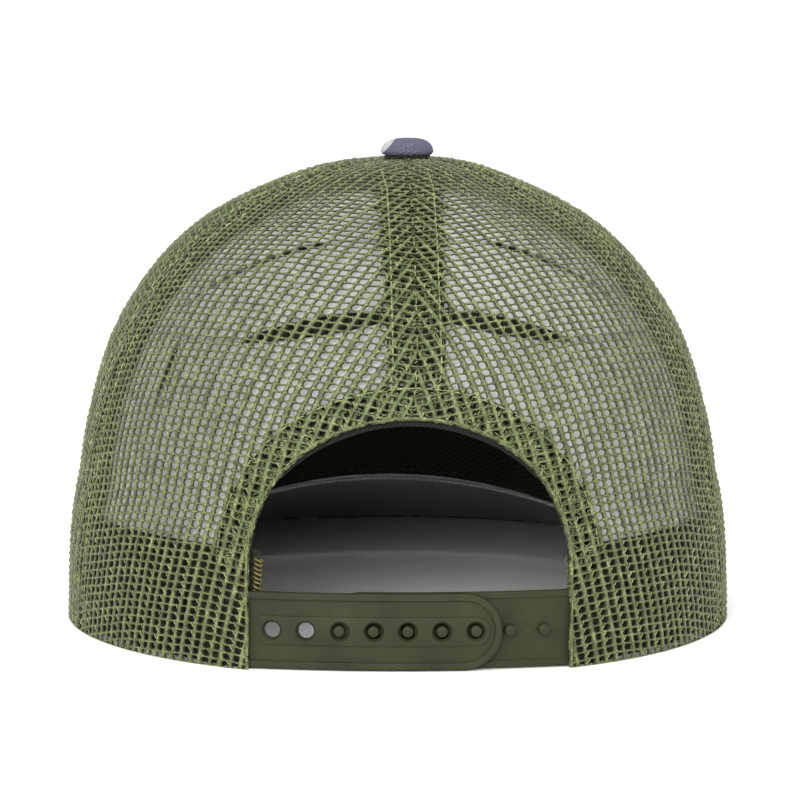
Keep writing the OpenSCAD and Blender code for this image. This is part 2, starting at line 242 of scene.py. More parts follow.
def closed_shell(outer, inner):
    """Vertices and faces of a closed sheet between two grids of points."""
    n, m = outer.shape[:2]
    verts = np.concatenate([outer.reshape(-1, 3), inner.reshape(-1, 3)])
    top = grid_faces(n, m)
    low = top[:, ::-1] + n * m
    at = np.arange(n * m).reshape(n, m)
    edge = np.concatenate([at[:, 0][::-1], at[0, 1:], at[1:, -1], at[-1, ::-1][1:]])
    rim = np.stack([edge[:-1], edge[1:], edge[1:] + n * m, edge[:-1] + n * m], -1)
    return verts, np.concatenate([top, low, rim])


def tubes(paths, normals, radius, sides=6, flat=1.0):
    """Closed tubes along many paths of equal point count: paths and normals are (N, m, 3)."""
    count, m, _ = paths.shape
    tangent = np.gradient(paths, axis=1)
    tangent /= np.maximum(np.linalg.norm(tangent, axis=2, keepdims=True), 1e-9)
    side = np.cross(tangent, normals)
    side /= np.maximum(np.linalg.norm(side, axis=2, keepdims=True), 1e-9)
    up = np.cross(side, tangent)
    r = np.broadcast_to(radius, (count, m))
    a = np.linspace(0, 2 * np.pi, sides, endpoint=False)
    ring = (side[:, :, None] * np.cos(a)[None, None, :, None]
            + up[:, :, None] * np.sin(a)[None, None, :, None] * flat)
    verts = paths[:, :, None] + ring * r[:, :, None, None]
    base = np.arange(count)[:, None] * m * sides
    i, s = np.meshgrid(np.arange(m - 1), np.arange(sides), indexing="ij")
    i, s = i.ravel(), s.ravel()
    quad = np.stack([i * sides + s, i * sides + (s + 1) % sides,
                     (i + 1) * sides + (s + 1) % sides, (i + 1) * sides + s], -1)
    faces = (base[:, :, None] + quad[None]).reshape(-1, 4)
    return verts.reshape(-1, 3), faces


def joined(parts):
    """Several (verts, faces) into one."""
    verts, faces, start = [], [], 0
    for v, f in parts:
        verts.append(v)
        faces.append(f + start)
        start += len(v)
    return np.concatenate(verts), np.concatenate(faces)


# ---- materials

def new_material(name, base, rough, **sockets):
    """A material and the Graph that adds nodes to it."""
    mat = bpy.data.materials.new(name)
    mat.use_nodes = True
    shader = mat.node_tree.nodes["Principled BSDF"]
    shader.inputs["Base Color"].default_value = (*base, 1)
    shader.inputs["Roughness"].default_value = rough
    for key, value in sockets.items():
        shader.inputs[key.replace("_", " ")].default_value = value
    return mat, Graph(mat.node_tree, shader)


class Graph:
    """Short calls for shader nodes."""

    def __init__(self, tree, shader):
        self.tree, self.shader = tree, shader
        self.coords = tree.nodes.new("ShaderNodeTexCoord").outputs["Object"]

    def node(self, kind, **values):
        n = self.tree.nodes.new(kind)
        for key, value in values.items():
            if hasattr(n, key):
                setattr(n, key, value)
            else:
                n.inputs[key.replace("_", " ")].default_value = value
        return n

    def link(self, a, b):
        self.tree.links.new(a, b)

    def noise(self, scale, detail=2.0, vector=None):
        n = self.node("ShaderNodeTexNoise", Scale=scale, Detail=detail)
        self.link(vector or self.coords, n.inputs["Vector"])
        return n.outputs["Fac"]

    def wave(self, scale, direction="X", distortion=0.0, vector=None):
        n = self.node("ShaderNodeTexWave", Scale=scale, Distortion=distortion)
        n.bands_direction = direction
        self.link(vector or self.coords, n.inputs["Vector"])
        return n.outputs["Fac"]

    def math(self, operation, a, b=0.5):
        n = self.node("ShaderNodeMath")
        n.operation = operation
        for socket, value in zip(n.inputs, (a, b)):
            if isinstance(value, (int, float)):
                socket.default_value = value
            else:
                self.link(value, socket)
        return n.outputs[0]

    def mixed(self, *parts):
        """Sum of (socket, weight) pairs."""
        sockets = [self.math("MULTIPLY", socket, weight) for socket, weight in parts]
        total = sockets.pop()
        while sockets:
            total = self.math("ADD", sockets.pop(), total)
        return total

    def ramp(self, fac, stops, interpolation="LINEAR"):
        n = self.node("ShaderNodeValToRGB")
        n.color_ramp.interpolation = interpolation
        while len(n.color_ramp.elements) < len(stops):
            n.color_ramp.elements.new(0.5)
        for element, (at, colour) in zip(n.color_ramp.elements, stops):
            element.position = at
            element.color = (*colour, 1)
        self.link(fac, n.inputs["Fac"])
        return n.outputs["Color"]

    def colour(self, socket):
        self.link(socket, self.shader.inputs["Base Color"])

    def rough(self, fac, low, high):
        n = self.node("ShaderNodeMapRange", To_Min=low, To_Max=high)
        self.link(fac, n.inputs["Value"])
        self.link(n.outputs[0], self.shader.inputs["Roughness"])

    def bump(self, height, strength, distance):
        n = self.node("ShaderNodeBump", Strength=strength, Distance=distance)
        self.link(height, n.inputs["Height"])
        self.link(n.outputs[0], self.shader.inputs["Normal"])


def yarn_material(name, dark, mid, light):
    mat, g = new_material(name, mid, 0.5, Sheen_Weight=0.05, Specular_IOR_Level=0.35)
    fibre = g.noise(2600, 3)
    g.colour(g.ramp(g.mixed((fibre, 0.6), (g.noise(420, 2), 0.4)), [(0.3, dark), (0.5, mid), (0.68, light)]))
    g.rough(fibre, 0.38, 0.62)
    g.bump(fibre, 0.6, 0.00012)
    return mat


def twill_material(name, dark, light, scale=1150.0, rough=0.85):
    """Cotton twill: fine diagonal ribs."""
    mat, g = new_material(name, light, rough, Sheen_Weight=0.04, Specular_IOR_Level=0.2)
    ribs = g.wave(scale / 3.2, "DIAGONAL", 1.2)
    grain = g.noise(1500, 3)
    mix = g.mixed((ribs, 0.45), (grain, 0.35), (g.noise(60, 3), 0.2))
    g.colour(g.ramp(mix, [(0.25, dark), (0.75, light)]))
    g.rough(grain, rough - 0.1, min(rough + 0.1, 1))
    g.bump(g.math("ADD", ribs, g.math("MULTIPLY", grain, 0.5)), 0.45, 0.00015)
    return mat


def print_material(name):
    """Front fabric: light grey twill with a soft slate blotch print."""
    mat, g = new_material(name, (0.4, 0.41, 0.45), 0.8, Sheen_Weight=0.2)
    warp = g.node("ShaderNodeVectorMath")
    warp.operation = "ADD"
    shift = g.node("ShaderNodeTexNoise", Scale=55.0, Detail=3.0)
    g.link(g.coords, shift.inputs["Vector"])
    scaled = g.node("ShaderNodeVectorMath")
    scaled.operation = "SCALE"
    scaled.inputs["Scale"].default_value = 0.02
    g.link(shift.outputs["Color"], scaled.inputs[0])
    g.link(g.coords, warp.inputs[0])
    g.link(scaled.outputs[0], warp.inputs[1])
    blots = g.ramp(g.noise(42, 2.5, warp.outputs[0]),
                   [(0, (0.5, 0.51, 0.55)), (0.44, (0.2, 0.205, 0.27)), (0.5, (0.085, 0.09, 0.13)),
                    (0.58, (0.32, 0.33, 0.38)), (0.64, (0.52, 0.53, 0.56))], "CONSTANT")
    ribs = g.wave(360, "DIAGONAL", 1.0)
    grain = g.noise(1600, 3)
    thread = g.node("ShaderNodeMix", data_type="RGBA", blend_type="MULTIPLY")
    thread.inputs["Factor"].default_value = 0.45
    g.link(blots, thread.inputs["A"])
    g.link(g.ramp(g.mixed((ribs, 0.5), (grain, 0.5)), [(0.25, (0.45, 0.45, 0.45)), (0.75, (1, 1, 1))]),
           thread.inputs["B"])
    g.colour(thread.outputs["Result"])
    g.rough(grain, 0.7, 0.9)
    g.bump(g.math("ADD", ribs, g.math("MULTIPLY", grain, 0.6)), 0.4, 0.00015)
    return mat


def plastic_material(name, base, light):
    mat, g = new_material(name, base, 0.42, Specular_IOR_Level=0.13)
    cloud = g.noise(90, 4)
    g.colour(g.ramp(cloud, [(0.35, base), (0.7, light)]))
    g.rough(cloud, 0.4, 0.58)
    g.bump(g.noise(1800, 2), 0.12, 0.00006)
    return mat


def buckram_material(name):
    mat, g = new_material(name, (0.6, 0.6, 0.58), 0.5, Coat_Weight=0.1, Coat_Roughness=0.4)
    weave = g.math("MULTIPLY", g.wave(430, "X", 0.6), g.wave(430, "Z", 0.6))
    cloud = g.noise(70, 3)
    mix = g.mixed((weave, 0.4), (cloud, 0.6))
    g.colour(g.ramp(mix, [(0.2, (0.7, 0.7, 0.69)), (0.7, (0.86, 0.86, 0.84))]))
    g.rough(cloud, 0.4, 0.6)
    g.bump(weave, 0.3, 0.0001)
    return mat


def hard_material(name, base, rough, scale, shine, **sockets):
    """One even colour; only its roughness varies."""
    mat, g = new_material(name, base, rough, **sockets)
    g.rough(g.noise(scale, 3), *shine)
    return mat


def shaper_material(name):
    mat, g = new_material(name, (0.8, 0.8, 0.79), 0.35, Specular_IOR_Level=0.5)
    g.rough(g.noise(60, 3), 0.22, 0.42)
    g.colour(g.ramp(g.noise(25, 3), [(0.3, (0.54, 0.535, 0.53)), (0.7, (0.7, 0.695, 0.69))]))
    return mat


MESH_YARN = yarn_material("mesh_yarn", (0.015, 0.021, 0.004), (0.07, 0.087, 0.022), (0.225, 0.26, 0.105))
# a darker copy of the mesh yarn: painted shade for the walls of the holes and the net's cut edges
SHADE_PAINTED_YARN = yarn_material("mesh_yarn_painted_shade", (0.006, 0.009, 0.002), (0.026, 0.034, 0.008),
                          (0.08, 0.095, 0.03))
# a lighter copy of the mesh yarn: painted highlight for the floats, loose ends and topstitches
HIGHLIGHT_PAINTED_YARN = yarn_material("yarn_painted_highlight", (0.05, 0.062, 0.018), (0.14, 0.165, 0.06), (0.34, 0.38, 0.19))
BAND_THREAD = yarn_material("sweatband_thread", (0.01, 0.01, 0.008), (0.02, 0.02, 0.016), (0.04, 0.04, 0.03))
OVERLOCK = yarn_material("overlock_thread", (0.05, 0.045, 0.01), (0.13, 0.115, 0.03), (0.28, 0.25, 0.08))
TAPE = twill_material("tape_twill", (0.006, 0.007, 0.004), (0.022, 0.025, 0.015), 1400)
TAPE_EDGE = twill_material("arch_tape_twill", (0.004, 0.004, 0.0035), (0.012, 0.0115, 0.0105), 1400)
SWEAT = twill_material("sweatband_twill", (0.008, 0.008, 0.004), (0.025, 0.025, 0.014), 1150)
UNDER = twill_material("undervisor_twill", (0.26, 0.26, 0.245), (0.4, 0.395, 0.375))
PRINT = print_material("print_twill")
THREAD = yarn_material("slate_thread", (0.05, 0.055, 0.08), (0.13, 0.14, 0.18), (0.3, 0.31, 0.36))
STRAP = plastic_material("strap_plastic_satin", (0.020, 0.0215, 0.0102), (0.029, 0.031, 0.0155))
BUCKRAM = buckram_material("buckram")
METAL = hard_material("rivet_steel", (0.55, 0.55, 0.53), 0.35, 900, (0.25, 0.5), Metallic=1.0)
BOARD = hard_material("board_plastic", (0.75, 0.75, 0.73), 0.4, 300, (0.35, 0.5))
SHAPER = shaper_material("shaper_plastic")

# ---- knitted mesh

# Wales stand PITCH apart, narrow and wide in turn, and courses ROW apart; every course steps
# sideways by LEAN. A hole has a width, as a share of its cell, and a shift to one side.
PITCH = 3.1
ROW = 2.0
LEAN = 0.4
DROOP = 0.0022
NARROW = 0.465
HOLE_NARROW = (0.55, 0.11)
HOLE_WIDE = (0.59, -0.11)
HOLE_LOW_TALL, HOLE_HIGH_TALL = 0.72, 0.74
HOLE_POINTS = 10
YARN_HALF = 0.31
ARCH_SKIRT = 0.985


class Net:
    """A panel's knitted mesh, laid out flat in (u, v) and wrapped round the crown."""

    def __init__(self, low, high, side):
        self.middle, self.low, self.high, self.side = (low + high) / 2, low, high, side
        self.t, self.v = meridian(self.middle)
        self.base_len = np.interp(self.middle, RING_PHI, RING_LEN)

    def locate(self, u, v):
        """Flat place to crown angle and climb, before clipping."""
        t = np.interp(v - DROOP * u ** 2, self.v, self.t)
        k = np.maximum(ring_k(self.middle, t), 0.02)
        phi = np.interp(self.base_len + u / k, RING_LEN, RING_PHI)
        return phi, t

    def clip(self, phi, t):
        """Pulls points back inside the panel's seams, rim and arch."""
        phi = np.clip(phi, self.low, self.high)
        t = np.maximum(t, climb_at(phi, lift(phi)))
        t = np.minimum(t, climb_at_k(phi, 0.045))
        if self.low < 0.1:
            z = height_at(phi, t)
            x = aside(phi, t)
            up = np.maximum(z - ARCH_SIDE, 0)
            r = np.hypot(x / ARCH_W, up / ARCH_ROUND)
            inside = r < 1
            scale = 1 / np.maximum(r, 0.05)
            x2 = np.where(inside, x * scale, x)
            z2 = np.where(inside, np.minimum(z, ARCH_SIDE) + up * scale, z)
            phi2 = phi_at_x(np.clip(x2, 0, HALF_W), z2)
            phi = np.where(inside, np.clip(phi2, self.low, self.high), phi)
            t = np.where(inside, climb_at(phi, z2), t)
        return phi, t


def lattice(net):
    """The cells' corners, more than cover the panel: wale numbers and flat places."""
    reach = int(RING_LEN[-1] / 2 / PITCH) + 40
    i, j = np.meshgrid(np.arange(-reach, reach), np.arange(-14, int(net.v[-1] / ROW) + 14), indexing="ij")
    shift = np.where(i % 2 == 0, 0.0, (NARROW - 0.5) * 2 * PITCH)
    return i, i * PITCH + shift - j * LEAN, j * ROW


def net_border(outer, inner, count):
    """Faces that close the net's edges, where a cell has no neighbour."""
    a, b = outer.ravel(), np.roll(outer, -1, 1).ravel()
    lone = ~np.isin(a * count + b, b * count + a)
    low_a, low_b = inner.ravel()[lone], np.roll(inner, -1, 1).ravel()[lone]
    return np.stack([a[lone], low_a, low_b, b[lone]], -1)


def knit(net, keep, depth, seed, mirror=1.0):
    """The net, each cell a rounded hole in a frame of rounded yarn: its vertices, faces and their
    shades (1 for the holes' walls and the net's edges, which take painted shade), and the wide cells with the
    way to place them, for strands()."""
    i, u, v = lattice(net)
    rand = np.random.default_rng(seed)
    jitter = 0.11
    cu = u + rand.normal(0, jitter, u.shape)
    cv = v + rand.normal(0, jitter * 0.7, u.shape)
    # slow drift of the fabric
    cu += 0.35 * np.sin(v * 0.09 + 1.3) + 0.25 * np.sin(u * 0.13 + v * 0.05)
    cv += 0.3 * np.sin(u * 0.07 + 0.5) + 0.2 * np.sin(u * 0.21 + 2.0)
    cu = cu * mirror
    n, m = u.shape
    a = (cu[:-1, :-1], cv[:-1, :-1])
    b = (cu[1:, :-1], cv[1:, :-1])
    c = (cu[1:, 1:], cv[1:, 1:])
    d = (cu[:-1, 1:], cv[:-1, 1:])
    mid_u = (a[0] + b[0] + c[0] + d[0]) / 4
    mid_v = (a[1] + b[1] + c[1] + d[1]) / 4
    phi, t = net.locate(mid_u, mid_v)
    use = keep(phi, t, net)
    ci, cj = np.nonzero(use)
    # boundary points: shared corners, thirds of the row edges, halves of the column edges
    corner = np.stack([cu, cv], -1)
    third1 = corner[:-1, :] * (2 / 3) + corner[1:, :] / 3
    third2 = corner[:-1, :] / 3 + corner[1:, :] * (2 / 3)
    sag = 0.12
    third1[..., 1] -= sag
    third2[..., 1] -= sag
    half = (corner[:, :-1] + corner[:, 1:]) / 2
    half[..., 0] += np.where((i[:, :-1] % 2) == 0, 0.06, -0.10) * mirror
    n_c = n * m
    n_r = (n - 1) * m
    at_corner = ci * m + cj
    at_third = n_c + at_corner
    at_half = n_c + 2 * n_r + ci * (m - 1) + cj
    flat = np.concatenate([corner.reshape(-1, 2), third1.reshape(-1, 2), third2.reshape(-1, 2),
                           half.reshape(-1, 2)])
    # knots stand proud, the middles of the strands lie lower
    bulge = np.concatenate([np.full(n_c, 0.20), np.full(2 * n_r, 0.0), np.full(n * (m - 1), 0.06)])
    bulge = bulge + rand.normal(0, 0.05, len(bulge))
    loop = np.stack([at_corner, at_third, at_third + n_r, at_corner + m, at_half + m - 1, at_corner + m + 1,
                     at_third + n_r + 1, at_third + 1, at_corner + 1, at_half], -1)
    used, inverse = np.unique(loop, return_inverse=True)
    inverse = inverse.reshape(loop.shape)
    frame_uv = flat[used]
    frame_up = bulge[used]
    # holes
    cells = len(ci)
    wide = (i[ci, cj] % 2) == 1
    ring = flat[loop]
    middle = ring.mean(1, keepdims=True)
    shrink_x = np.where(wide, HOLE_WIDE[0], HOLE_NARROW[0])[:, None] * (1 + rand.normal(0, 0.05, (cells, 1)))
    higher = np.clip((flat[loop][:, :, 1].mean(1)[:, None] - 80) / 30, 0, 1)
    shrink_y = HOLE_LOW_TALL + (HOLE_HIGH_TALL - HOLE_LOW_TALL) * higher
    shrink_x = shrink_x * (1 + 0.2 * higher)
    shrink_y = shrink_y * (1 + rand.normal(0, 0.05, (cells, 1)))
    pull = np.array([0.80, 1.0, 1.0, 0.80, 1.0, 0.80, 1.0, 1.0, 0.80, 1.0])[None]
    side_shift = np.where(wide, HOLE_WIDE[1], HOLE_NARROW[1])[:, None] * mirror
    off = ring - middle
    hole = np.empty_like(ring)
    hole[..., 0] = middle[..., 0] + off[..., 0] * shrink_x * pull + side_shift
    hole[..., 1] = middle[..., 1] + off[..., 1] * shrink_y * pull
    between = ring * 0.5 + hole * 0.5

    def place(uv, deep):
        phi, t = net.locate(uv[..., 0], uv[..., 1])
        phi, t = net.clip(phi, t)
        return crown_point(phi, t, deep)

    frame_out = place(frame_uv, depth - frame_up)
    frame_in = place(frame_uv, depth + 2 * YARN_HALF - frame_up * 0.3)
    up_mid = bulge[loop] * 0.8 - 0.06
    mid_out = place(between, depth - up_mid)
    edge = place(hole, depth + YARN_HALF * 0.95 + rand.normal(0, 0.04, loop.shape))
    nf = len(used)
    verts = np.concatenate([frame_out, frame_in, mid_out.reshape(-1, 3), edge.reshape(-1, 3)])
    step = cells * HOLE_POINTS
    own = np.arange(step).reshape(cells, HOLE_POINTS)
    mo, he = own + 2 * nf, own + 2 * nf + step
    fo, fi = inverse, inverse + nf

    def band(x, y):
        return np.stack([x, np.roll(x, -1, 1), np.roll(y, -1, 1), y], -1).reshape(-1, 4)

    # the yarn's outer face keeps the yarn's own colour; the holes' walls and the edges get shade 1, painted
    # shade
    bands = [band(fo, mo), band(mo, he), band(he, fi), net_border(fo, fi, nf)]
    faces = np.concatenate(bands)
    shades = np.repeat([0, 1, 1, 1], [len(b) for b in bands])
    if net.side * mirror < 0:
        faces = faces[:, ::-1]
    return verts, faces, shades, (ring[wide], place)


def strands(box, place, seed):
    """The slanting float of yarn at the side of every wide hole, coloured with painted highlight."""
    rand = np.random.default_rng(seed)
    start = box[:, 8] * 0.68 + box[:, 5] * 0.32
    stop = box[:, 9] * 0.85 + box[:, 0] * 0.15
    s = np.linspace(-0.12, 1.12, 5)[None, :, None]
    path = start[:, None] * (1 - s) + stop[:, None] * s
    arc = np.sin(np.pi * np.linspace(0, 1, 5))[None] * 0.25 + rand.normal(0, 0.03, (len(path), 5))
    points = place(path, -0.02 - arc)
    deeper = place(path, 2)
    out = points - deeper
    out /= np.maximum(np.linalg.norm(out, axis=-1, keepdims=True), 1e-9)
    radius = np.array([0.1, 0.14, 0.16, 0.14, 0.1])[None] * (1 + rand.normal(0, 0.15, (len(path), 1)))
    length = np.linalg.norm(points[:, -1] - points[:, 0], axis=1)
    good = (length > 1.0) & (rand.random(len(path)) > 0.12)
    return tubes(points[good], out[good], radius[good], 5)


def in_panel(phi, t, net):
    slack = 0.9 / np.maximum(HALF_W * ring_k(phi, t), 2.0)
    inside = (phi > net.low - slack) & (phi < net.high + slack)
    z = height_at(phi, t)
    inside &= z > lift(phi) - 0.8
    inside &= ring_k(phi, t) > 0.05
    if net.low < 0.1:
        inside &= np.hypot(aside(phi, t) / ARCH_W, np.maximum(z - ARCH_SIDE, 0) / ARCH_ROUND) > ARCH_SKIRT
    return inside


def panel_net(name, node, low, high, seed, side):
    """One side's panel of mesh, with its floats of yarn."""
    verts, faces, shades, (box, place) = knit(Net(low, high, side), in_panel, 0.0, seed)
    verts = mirror_x(verts, side)
    piece = make(name, verts, faces, MESH_YARN, slot="mesh", shade=SHADE_PAINTED_YARN, shades=shades)
    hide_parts(node)
    verts, faces = strands(box, place, seed + 50)
    make(name + "_floats", mirror_x(verts, side), faces[:, ::side], HIGHLIGHT_PAINTED_YARN, slot="mesh")


SIDES = (("left", 1), ("right", -1))
for word, side in SIDES:
    panel_net("rear_net_" + word, "rear_mesh_" + word, 0.0, SIDE_SEAM, 11 + side, side)
    panel_net("side_net_" + word, "side_mesh_" + word, SIDE_SEAM, FRONT_SEAM, 21 + side, side)

# ---- solid pieces and rows of stitches

def oriented(verts, faces):
    """Turns a closed mesh's quads so that their normals point out."""
    a, b, c, d = (verts[faces[:, k]] for k in range(4))
    volume = np.sum(np.cross(a, b) * c) + np.sum(np.cross(a, c) * d)
    return faces if volume > 0 else faces[:, ::-1]


def solid(name, parts, material, slot, node=None, side=1, body=BODY):
    """A piece from a list of closed (verts, faces); node is the CAD node it takes the place of."""
    verts, faces = joined(parts)
    verts = mirror_x(verts, side)
    piece = make(name, verts, oriented(verts, faces), material, body, slot)
    if node:
        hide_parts(node)
    return piece


def crown_piece(name, phi, t, top, bottom, material, slot, node=None, side=1, relief=0):
    """A closed piece between two depths over a grid of crown angles and climbs."""
    shell = closed_shell(crown_point(phi, t, top + relief), crown_point(phi, t, bottom + relief))
    return solid(name, [shell], material, slot, node, side)


def resample(path, step):
    """Points at even steps along a polyline."""
    length = np.concatenate([[0], np.cumsum(np.linalg.norm(np.diff(path, axis=0), axis=1))])
    count = max(int(length[-1] / step), 2)
    at = np.linspace(0, length[-1], count)
    return np.stack([np.interp(at, length, path[:, k]) for k in range(path.shape[1])], -1)


def stitch_row(path, normals, pitch=2.6, filled=0.72, radius=0.2, lie=0.12, seed=3):
    """A row of lockstitches along a polyline on a surface: each dips at its ends."""
    both = resample(np.concatenate([path, normals], 1), 0.2)
    length = np.concatenate([[0], np.cumsum(np.linalg.norm(np.diff(both[:, :3], axis=0), axis=1))])
    rand = np.random.default_rng(seed)
    count = int(length[-1] / pitch)
    start = np.arange(count) * pitch + rand.normal(0, 0.06, count)
    s = np.linspace(0, 1, 7)
    at = start[:, None] + s[None] * pitch * filled
    points = np.stack([np.interp(at, length, both[:, k]) for k in range(3)], -1)
    out = np.stack([np.interp(at, length, both[:, k + 3]) for k in range(3)], -1)
    out /= np.maximum(np.linalg.norm(out, axis=-1, keepdims=True), 1e-9)
    rise = np.sin(np.pi * s) ** 0.5 * (radius + lie) - radius
    points = points + out * rise[None, :, None]
    width = radius * (0.55 + 0.45 * np.sin(np.pi * s) ** 0.5)
    return tubes(points, out, np.broadcast_to(width, points.shape[:2]), 5)


def crown_line(phi, t, depth=0.0):
    """A polyline on the crown and its normals."""
    points = crown_point(phi, t, depth)
    return points, crown_normal(points[:, 0], points[:, 1], points[:, 2])


def offset_meridian(seam, offset, from_z, to_k, n=160):
    """Crown angles and climbs of a line at a distance beside a seam."""
    t = np.linspace(climb_at(seam, from_z), climb_at_k(seam, to_k), n)
    reach = np.clip(offset / (HALF_W * ring_k(seam, t)), -0.9, 0.9)
    return seam + np.arcsin(reach), t


# ---- second layer of mesh along the seams

def doubled(name, net, keep, seed):
    """The turned-in edge of the mesh behind a seam."""
    verts, faces, shades, _wide = knit(net, keep, 1.0, seed, mirror=-1.0)
    verts = mirror_x(verts, net.side)
    make(name, verts, faces[:, ::net.side], MESH_YARN, slot="mesh", shade=SHADE_PAINTED_YARN, shades=shades)


def filaments(name, phi, t, depth, count, seed, side, length, radius=0.13, slope=0.5):
    """Loose ends of yarn, coloured with painted highlight, scattered over a strip given by its grid of angles
    and climbs.
    """
    rand = np.random.default_rng(seed)
    n, m = phi.shape
    a = rand.uniform(0, n - 1.001, count)
    b = rand.uniform(0, m - 1.001, count)
    reach = rand.uniform(*length, count)
    turn = np.where(rand.random(count) < 0.5, slope, np.pi - slope) + rand.normal(0, 0.3, count)
    s = np.linspace(-0.5, 0.5, 6)
    bend = rand.normal(0, 0.5, count)
    du = reach[:, None] * (np.cos(turn)[:, None] * s - np.sin(turn)[:, None] * bend[:, None] * s ** 2)
    dv = reach[:, None] * (np.sin(turn)[:, None] * s + np.cos(turn)[:, None] * bend[:, None] * s ** 2)
    ia, ib = a.astype(int), b.astype(int)
    phi0 = phi[ia, ib][:, None]
    t0 = t[ia, ib][:, None]
    k = np.maximum(ring_k(phi0, t0), 0.03)
    p = phi0 + du / (HALF_W * k)
    climb = t0 + dv / 105.0
    climb = np.clip(climb, climb_at(p, lift(p) + 0.3), 1.5)
    level = depth[0] + (depth[1] - depth[0]) * rand.random((count, 1)) + 0.25 * (2 * s) ** 2
    points = crown_point(p, climb, level)
    out = crown_normal(points[..., 0], points[..., 1], points[..., 2])
    ends = tubes(points, out, np.full((count, 6), radius) * [0.7, 1, 1, 1, 1, 0.7], 5)
    solid(name, [ends], HIGHLIGHT_PAINTED_YARN, "mesh", side=side)


# Widths of the turned-in mesh, and the arch's topstitches from its edge
CENTRE_BAND = 8.0
SIDE_FOLD = 6.0
ARCH_STITCH = 7.4


def by_centre(phi, t, _net):
    x = aside(phi, t)
    above = height_at(phi, t) > ARCH_SIDE + ARCH_ROUND + 2
    return (x > -0.5) & (x < CENTRE_BAND) & above & (ring_k(phi, t) > 0.06)


def by_arch(phi, t, _net):
    x, z = aside(phi, t), height_at(phi, t)
    up = np.maximum(z - ARCH_SIDE, 0)
    inner = np.hypot(x / ARCH_W, up / ARCH_ROUND)
    outer = np.hypot(x / (ARCH_W + BINDING), up / (ARCH_ROUND + BINDING))
    return (inner > ARCH_SKIRT) & (outer < 1) & (z > 21.5) & (phi > -0.005)


def by_side(phi, t, net):
    reach = (net.high - phi) * HALF_W * ring_k(phi, t)
    return (reach > -0.5) & (reach < SIDE_FOLD) & (height_at(phi, t) > 0) & (ring_k(phi, t) > 0.08)


def rear_seams(word, side):
    """Everything sewn on one side: turned-in mesh, loose ends, topstitches and the arch's edge."""
    rear = Net(0.0, SIDE_SEAM, side)
    doubled("centre_fold_" + word, rear, by_centre, 61 + side)
    doubled("arch_fold_" + word, rear, by_arch, 71 + side)
    doubled("side_fold_" + word, rear, by_side, 81 + side)

    k_line = np.linspace(climb_at(0.0, ARCH_SIDE + ARCH_ROUND + 1), climb_at_k(0.0, 0.09), 60)
    across = np.linspace(0.0, CENTRE_BAND, 9)
    phi_grid = np.stack([np.arcsin(np.clip(c / (HALF_W * ring_k(0.0, k_line)), 0, 0.9)) for c in across])
    t_grid = np.broadcast_to(k_line, phi_grid.shape)
    filaments("centre_filaments_" + word, phi_grid, t_grid, (0.3, 1.0), 200, 91 + side, side, (1.4, 2.8))

    angle = np.linspace(0, np.pi / 2, 70)
    rows_x, rows_z = arch_round(np.linspace(1.6, BINDING, 8)[:, None], angle[None])
    phi_grid = phi_at_x(rows_x, rows_z)
    filaments("arch_filaments_" + word, phi_grid, climb_at(phi_grid, rows_z), (0.3, 1.0), 240, 101 + side,
              side, (1.2, 2.4))

    # topstitches beside the centre seam and round the arch
    rows = []
    phi, t = offset_meridian(0.0, 6.0, ARCH_SIDE + ARCH_ROUND + 9, 0.2)
    rows.append(stitch_row(*crown_line(phi, t, -0.1), pitch=2.5, radius=0.24, seed=5))
    x, z = arch_round(ARCH_STITCH, angle)
    phi = phi_at_x(x, z)
    rows.append(stitch_row(*crown_line(phi, climb_at(phi, z), -0.1), pitch=2.5, radius=0.22, seed=6))
    for seam, offsets in ((SIDE_SEAM, (-4.5, 4.5)), (FRONT_SEAM, (-4.0,))):
        for offset in offsets:
            phi, t = offset_meridian(seam, offset, float(lift(seam)) + 1, 0.2)
            rows.append(stitch_row(*crown_line(phi, t, -0.1), pitch=2.5, radius=0.22, seed=7))
    # the topstitches take the lighter copy of the yarn: painted highlight
    solid("mesh_topstitch_" + word, rows, HIGHLIGHT_PAINTED_YARN, "mesh", side=side)

    # rolled edge of the arch: a thick wavering cord of yarn, and a looser one beside it
    rand = np.random.default_rng(111 + side)
    foot = np.linspace(0.2, ARCH_SIDE, 40, endpoint=False)[::-1]
    x, z = arch_round(0.3, np.linspace(0, np.pi / 2, 150))
    x = np.concatenate([x, np.full(40, ARCH_W + 0.3)])
    z = np.concatenate([z, foot])
    cords = []
    for spread, radius, depth in ((0.12, 0.42, 0.35), (0.3, 0.24, 0.0), (0.35, 0.22, 0.8)):
        wobble = np.convolve(rand.normal(0, 1, len(x)), np.ones(3) / 3, "same") * spread
        phi = phi_at_x(np.maximum(x + wobble, 0.0), z)
        path, out = crown_line(phi, climb_at(phi, np.maximum(z + wobble, 0.1)), depth + wobble * 0.4)
        cords.append(tubes(path[None], out[None], radius * (1 + rand.normal(0, 0.12, (1, len(x)))), 7))
    solid("arch_edge_yarn_" + word, cords, MESH_YARN, "mesh", side=side)


for word, side in SIDES:
    rear_seams(word, side)

# ---- tapes

TAPE_RIPPLE = 0.12
TAPE_T = 0.4


def tape_along(name, node, seam, width, from_z, top, side=1):
    """A dark tape over the inside of a seam, from a height up to the button."""
    s = np.linspace(-1, 1, 13)
    t = np.linspace(climb_at(seam, from_z), climb_at_k(seam, 0.2), 90)
    turn = np.arcsin(np.clip(s[:, None] * width / 2 / (HALF_W * ring_k(seam, t))[None], -0.9, 0.9))
    t = np.broadcast_to(t, turn.shape)
    ripple = TAPE_RIPPLE * np.sin(t * 60 + s[:, None] * 2) + 0.1 * s[:, None] ** 2
    crown_piece(name, seam + turn, t, top, top + TAPE_T, TAPE, "seam_tape", node, side, ripple)


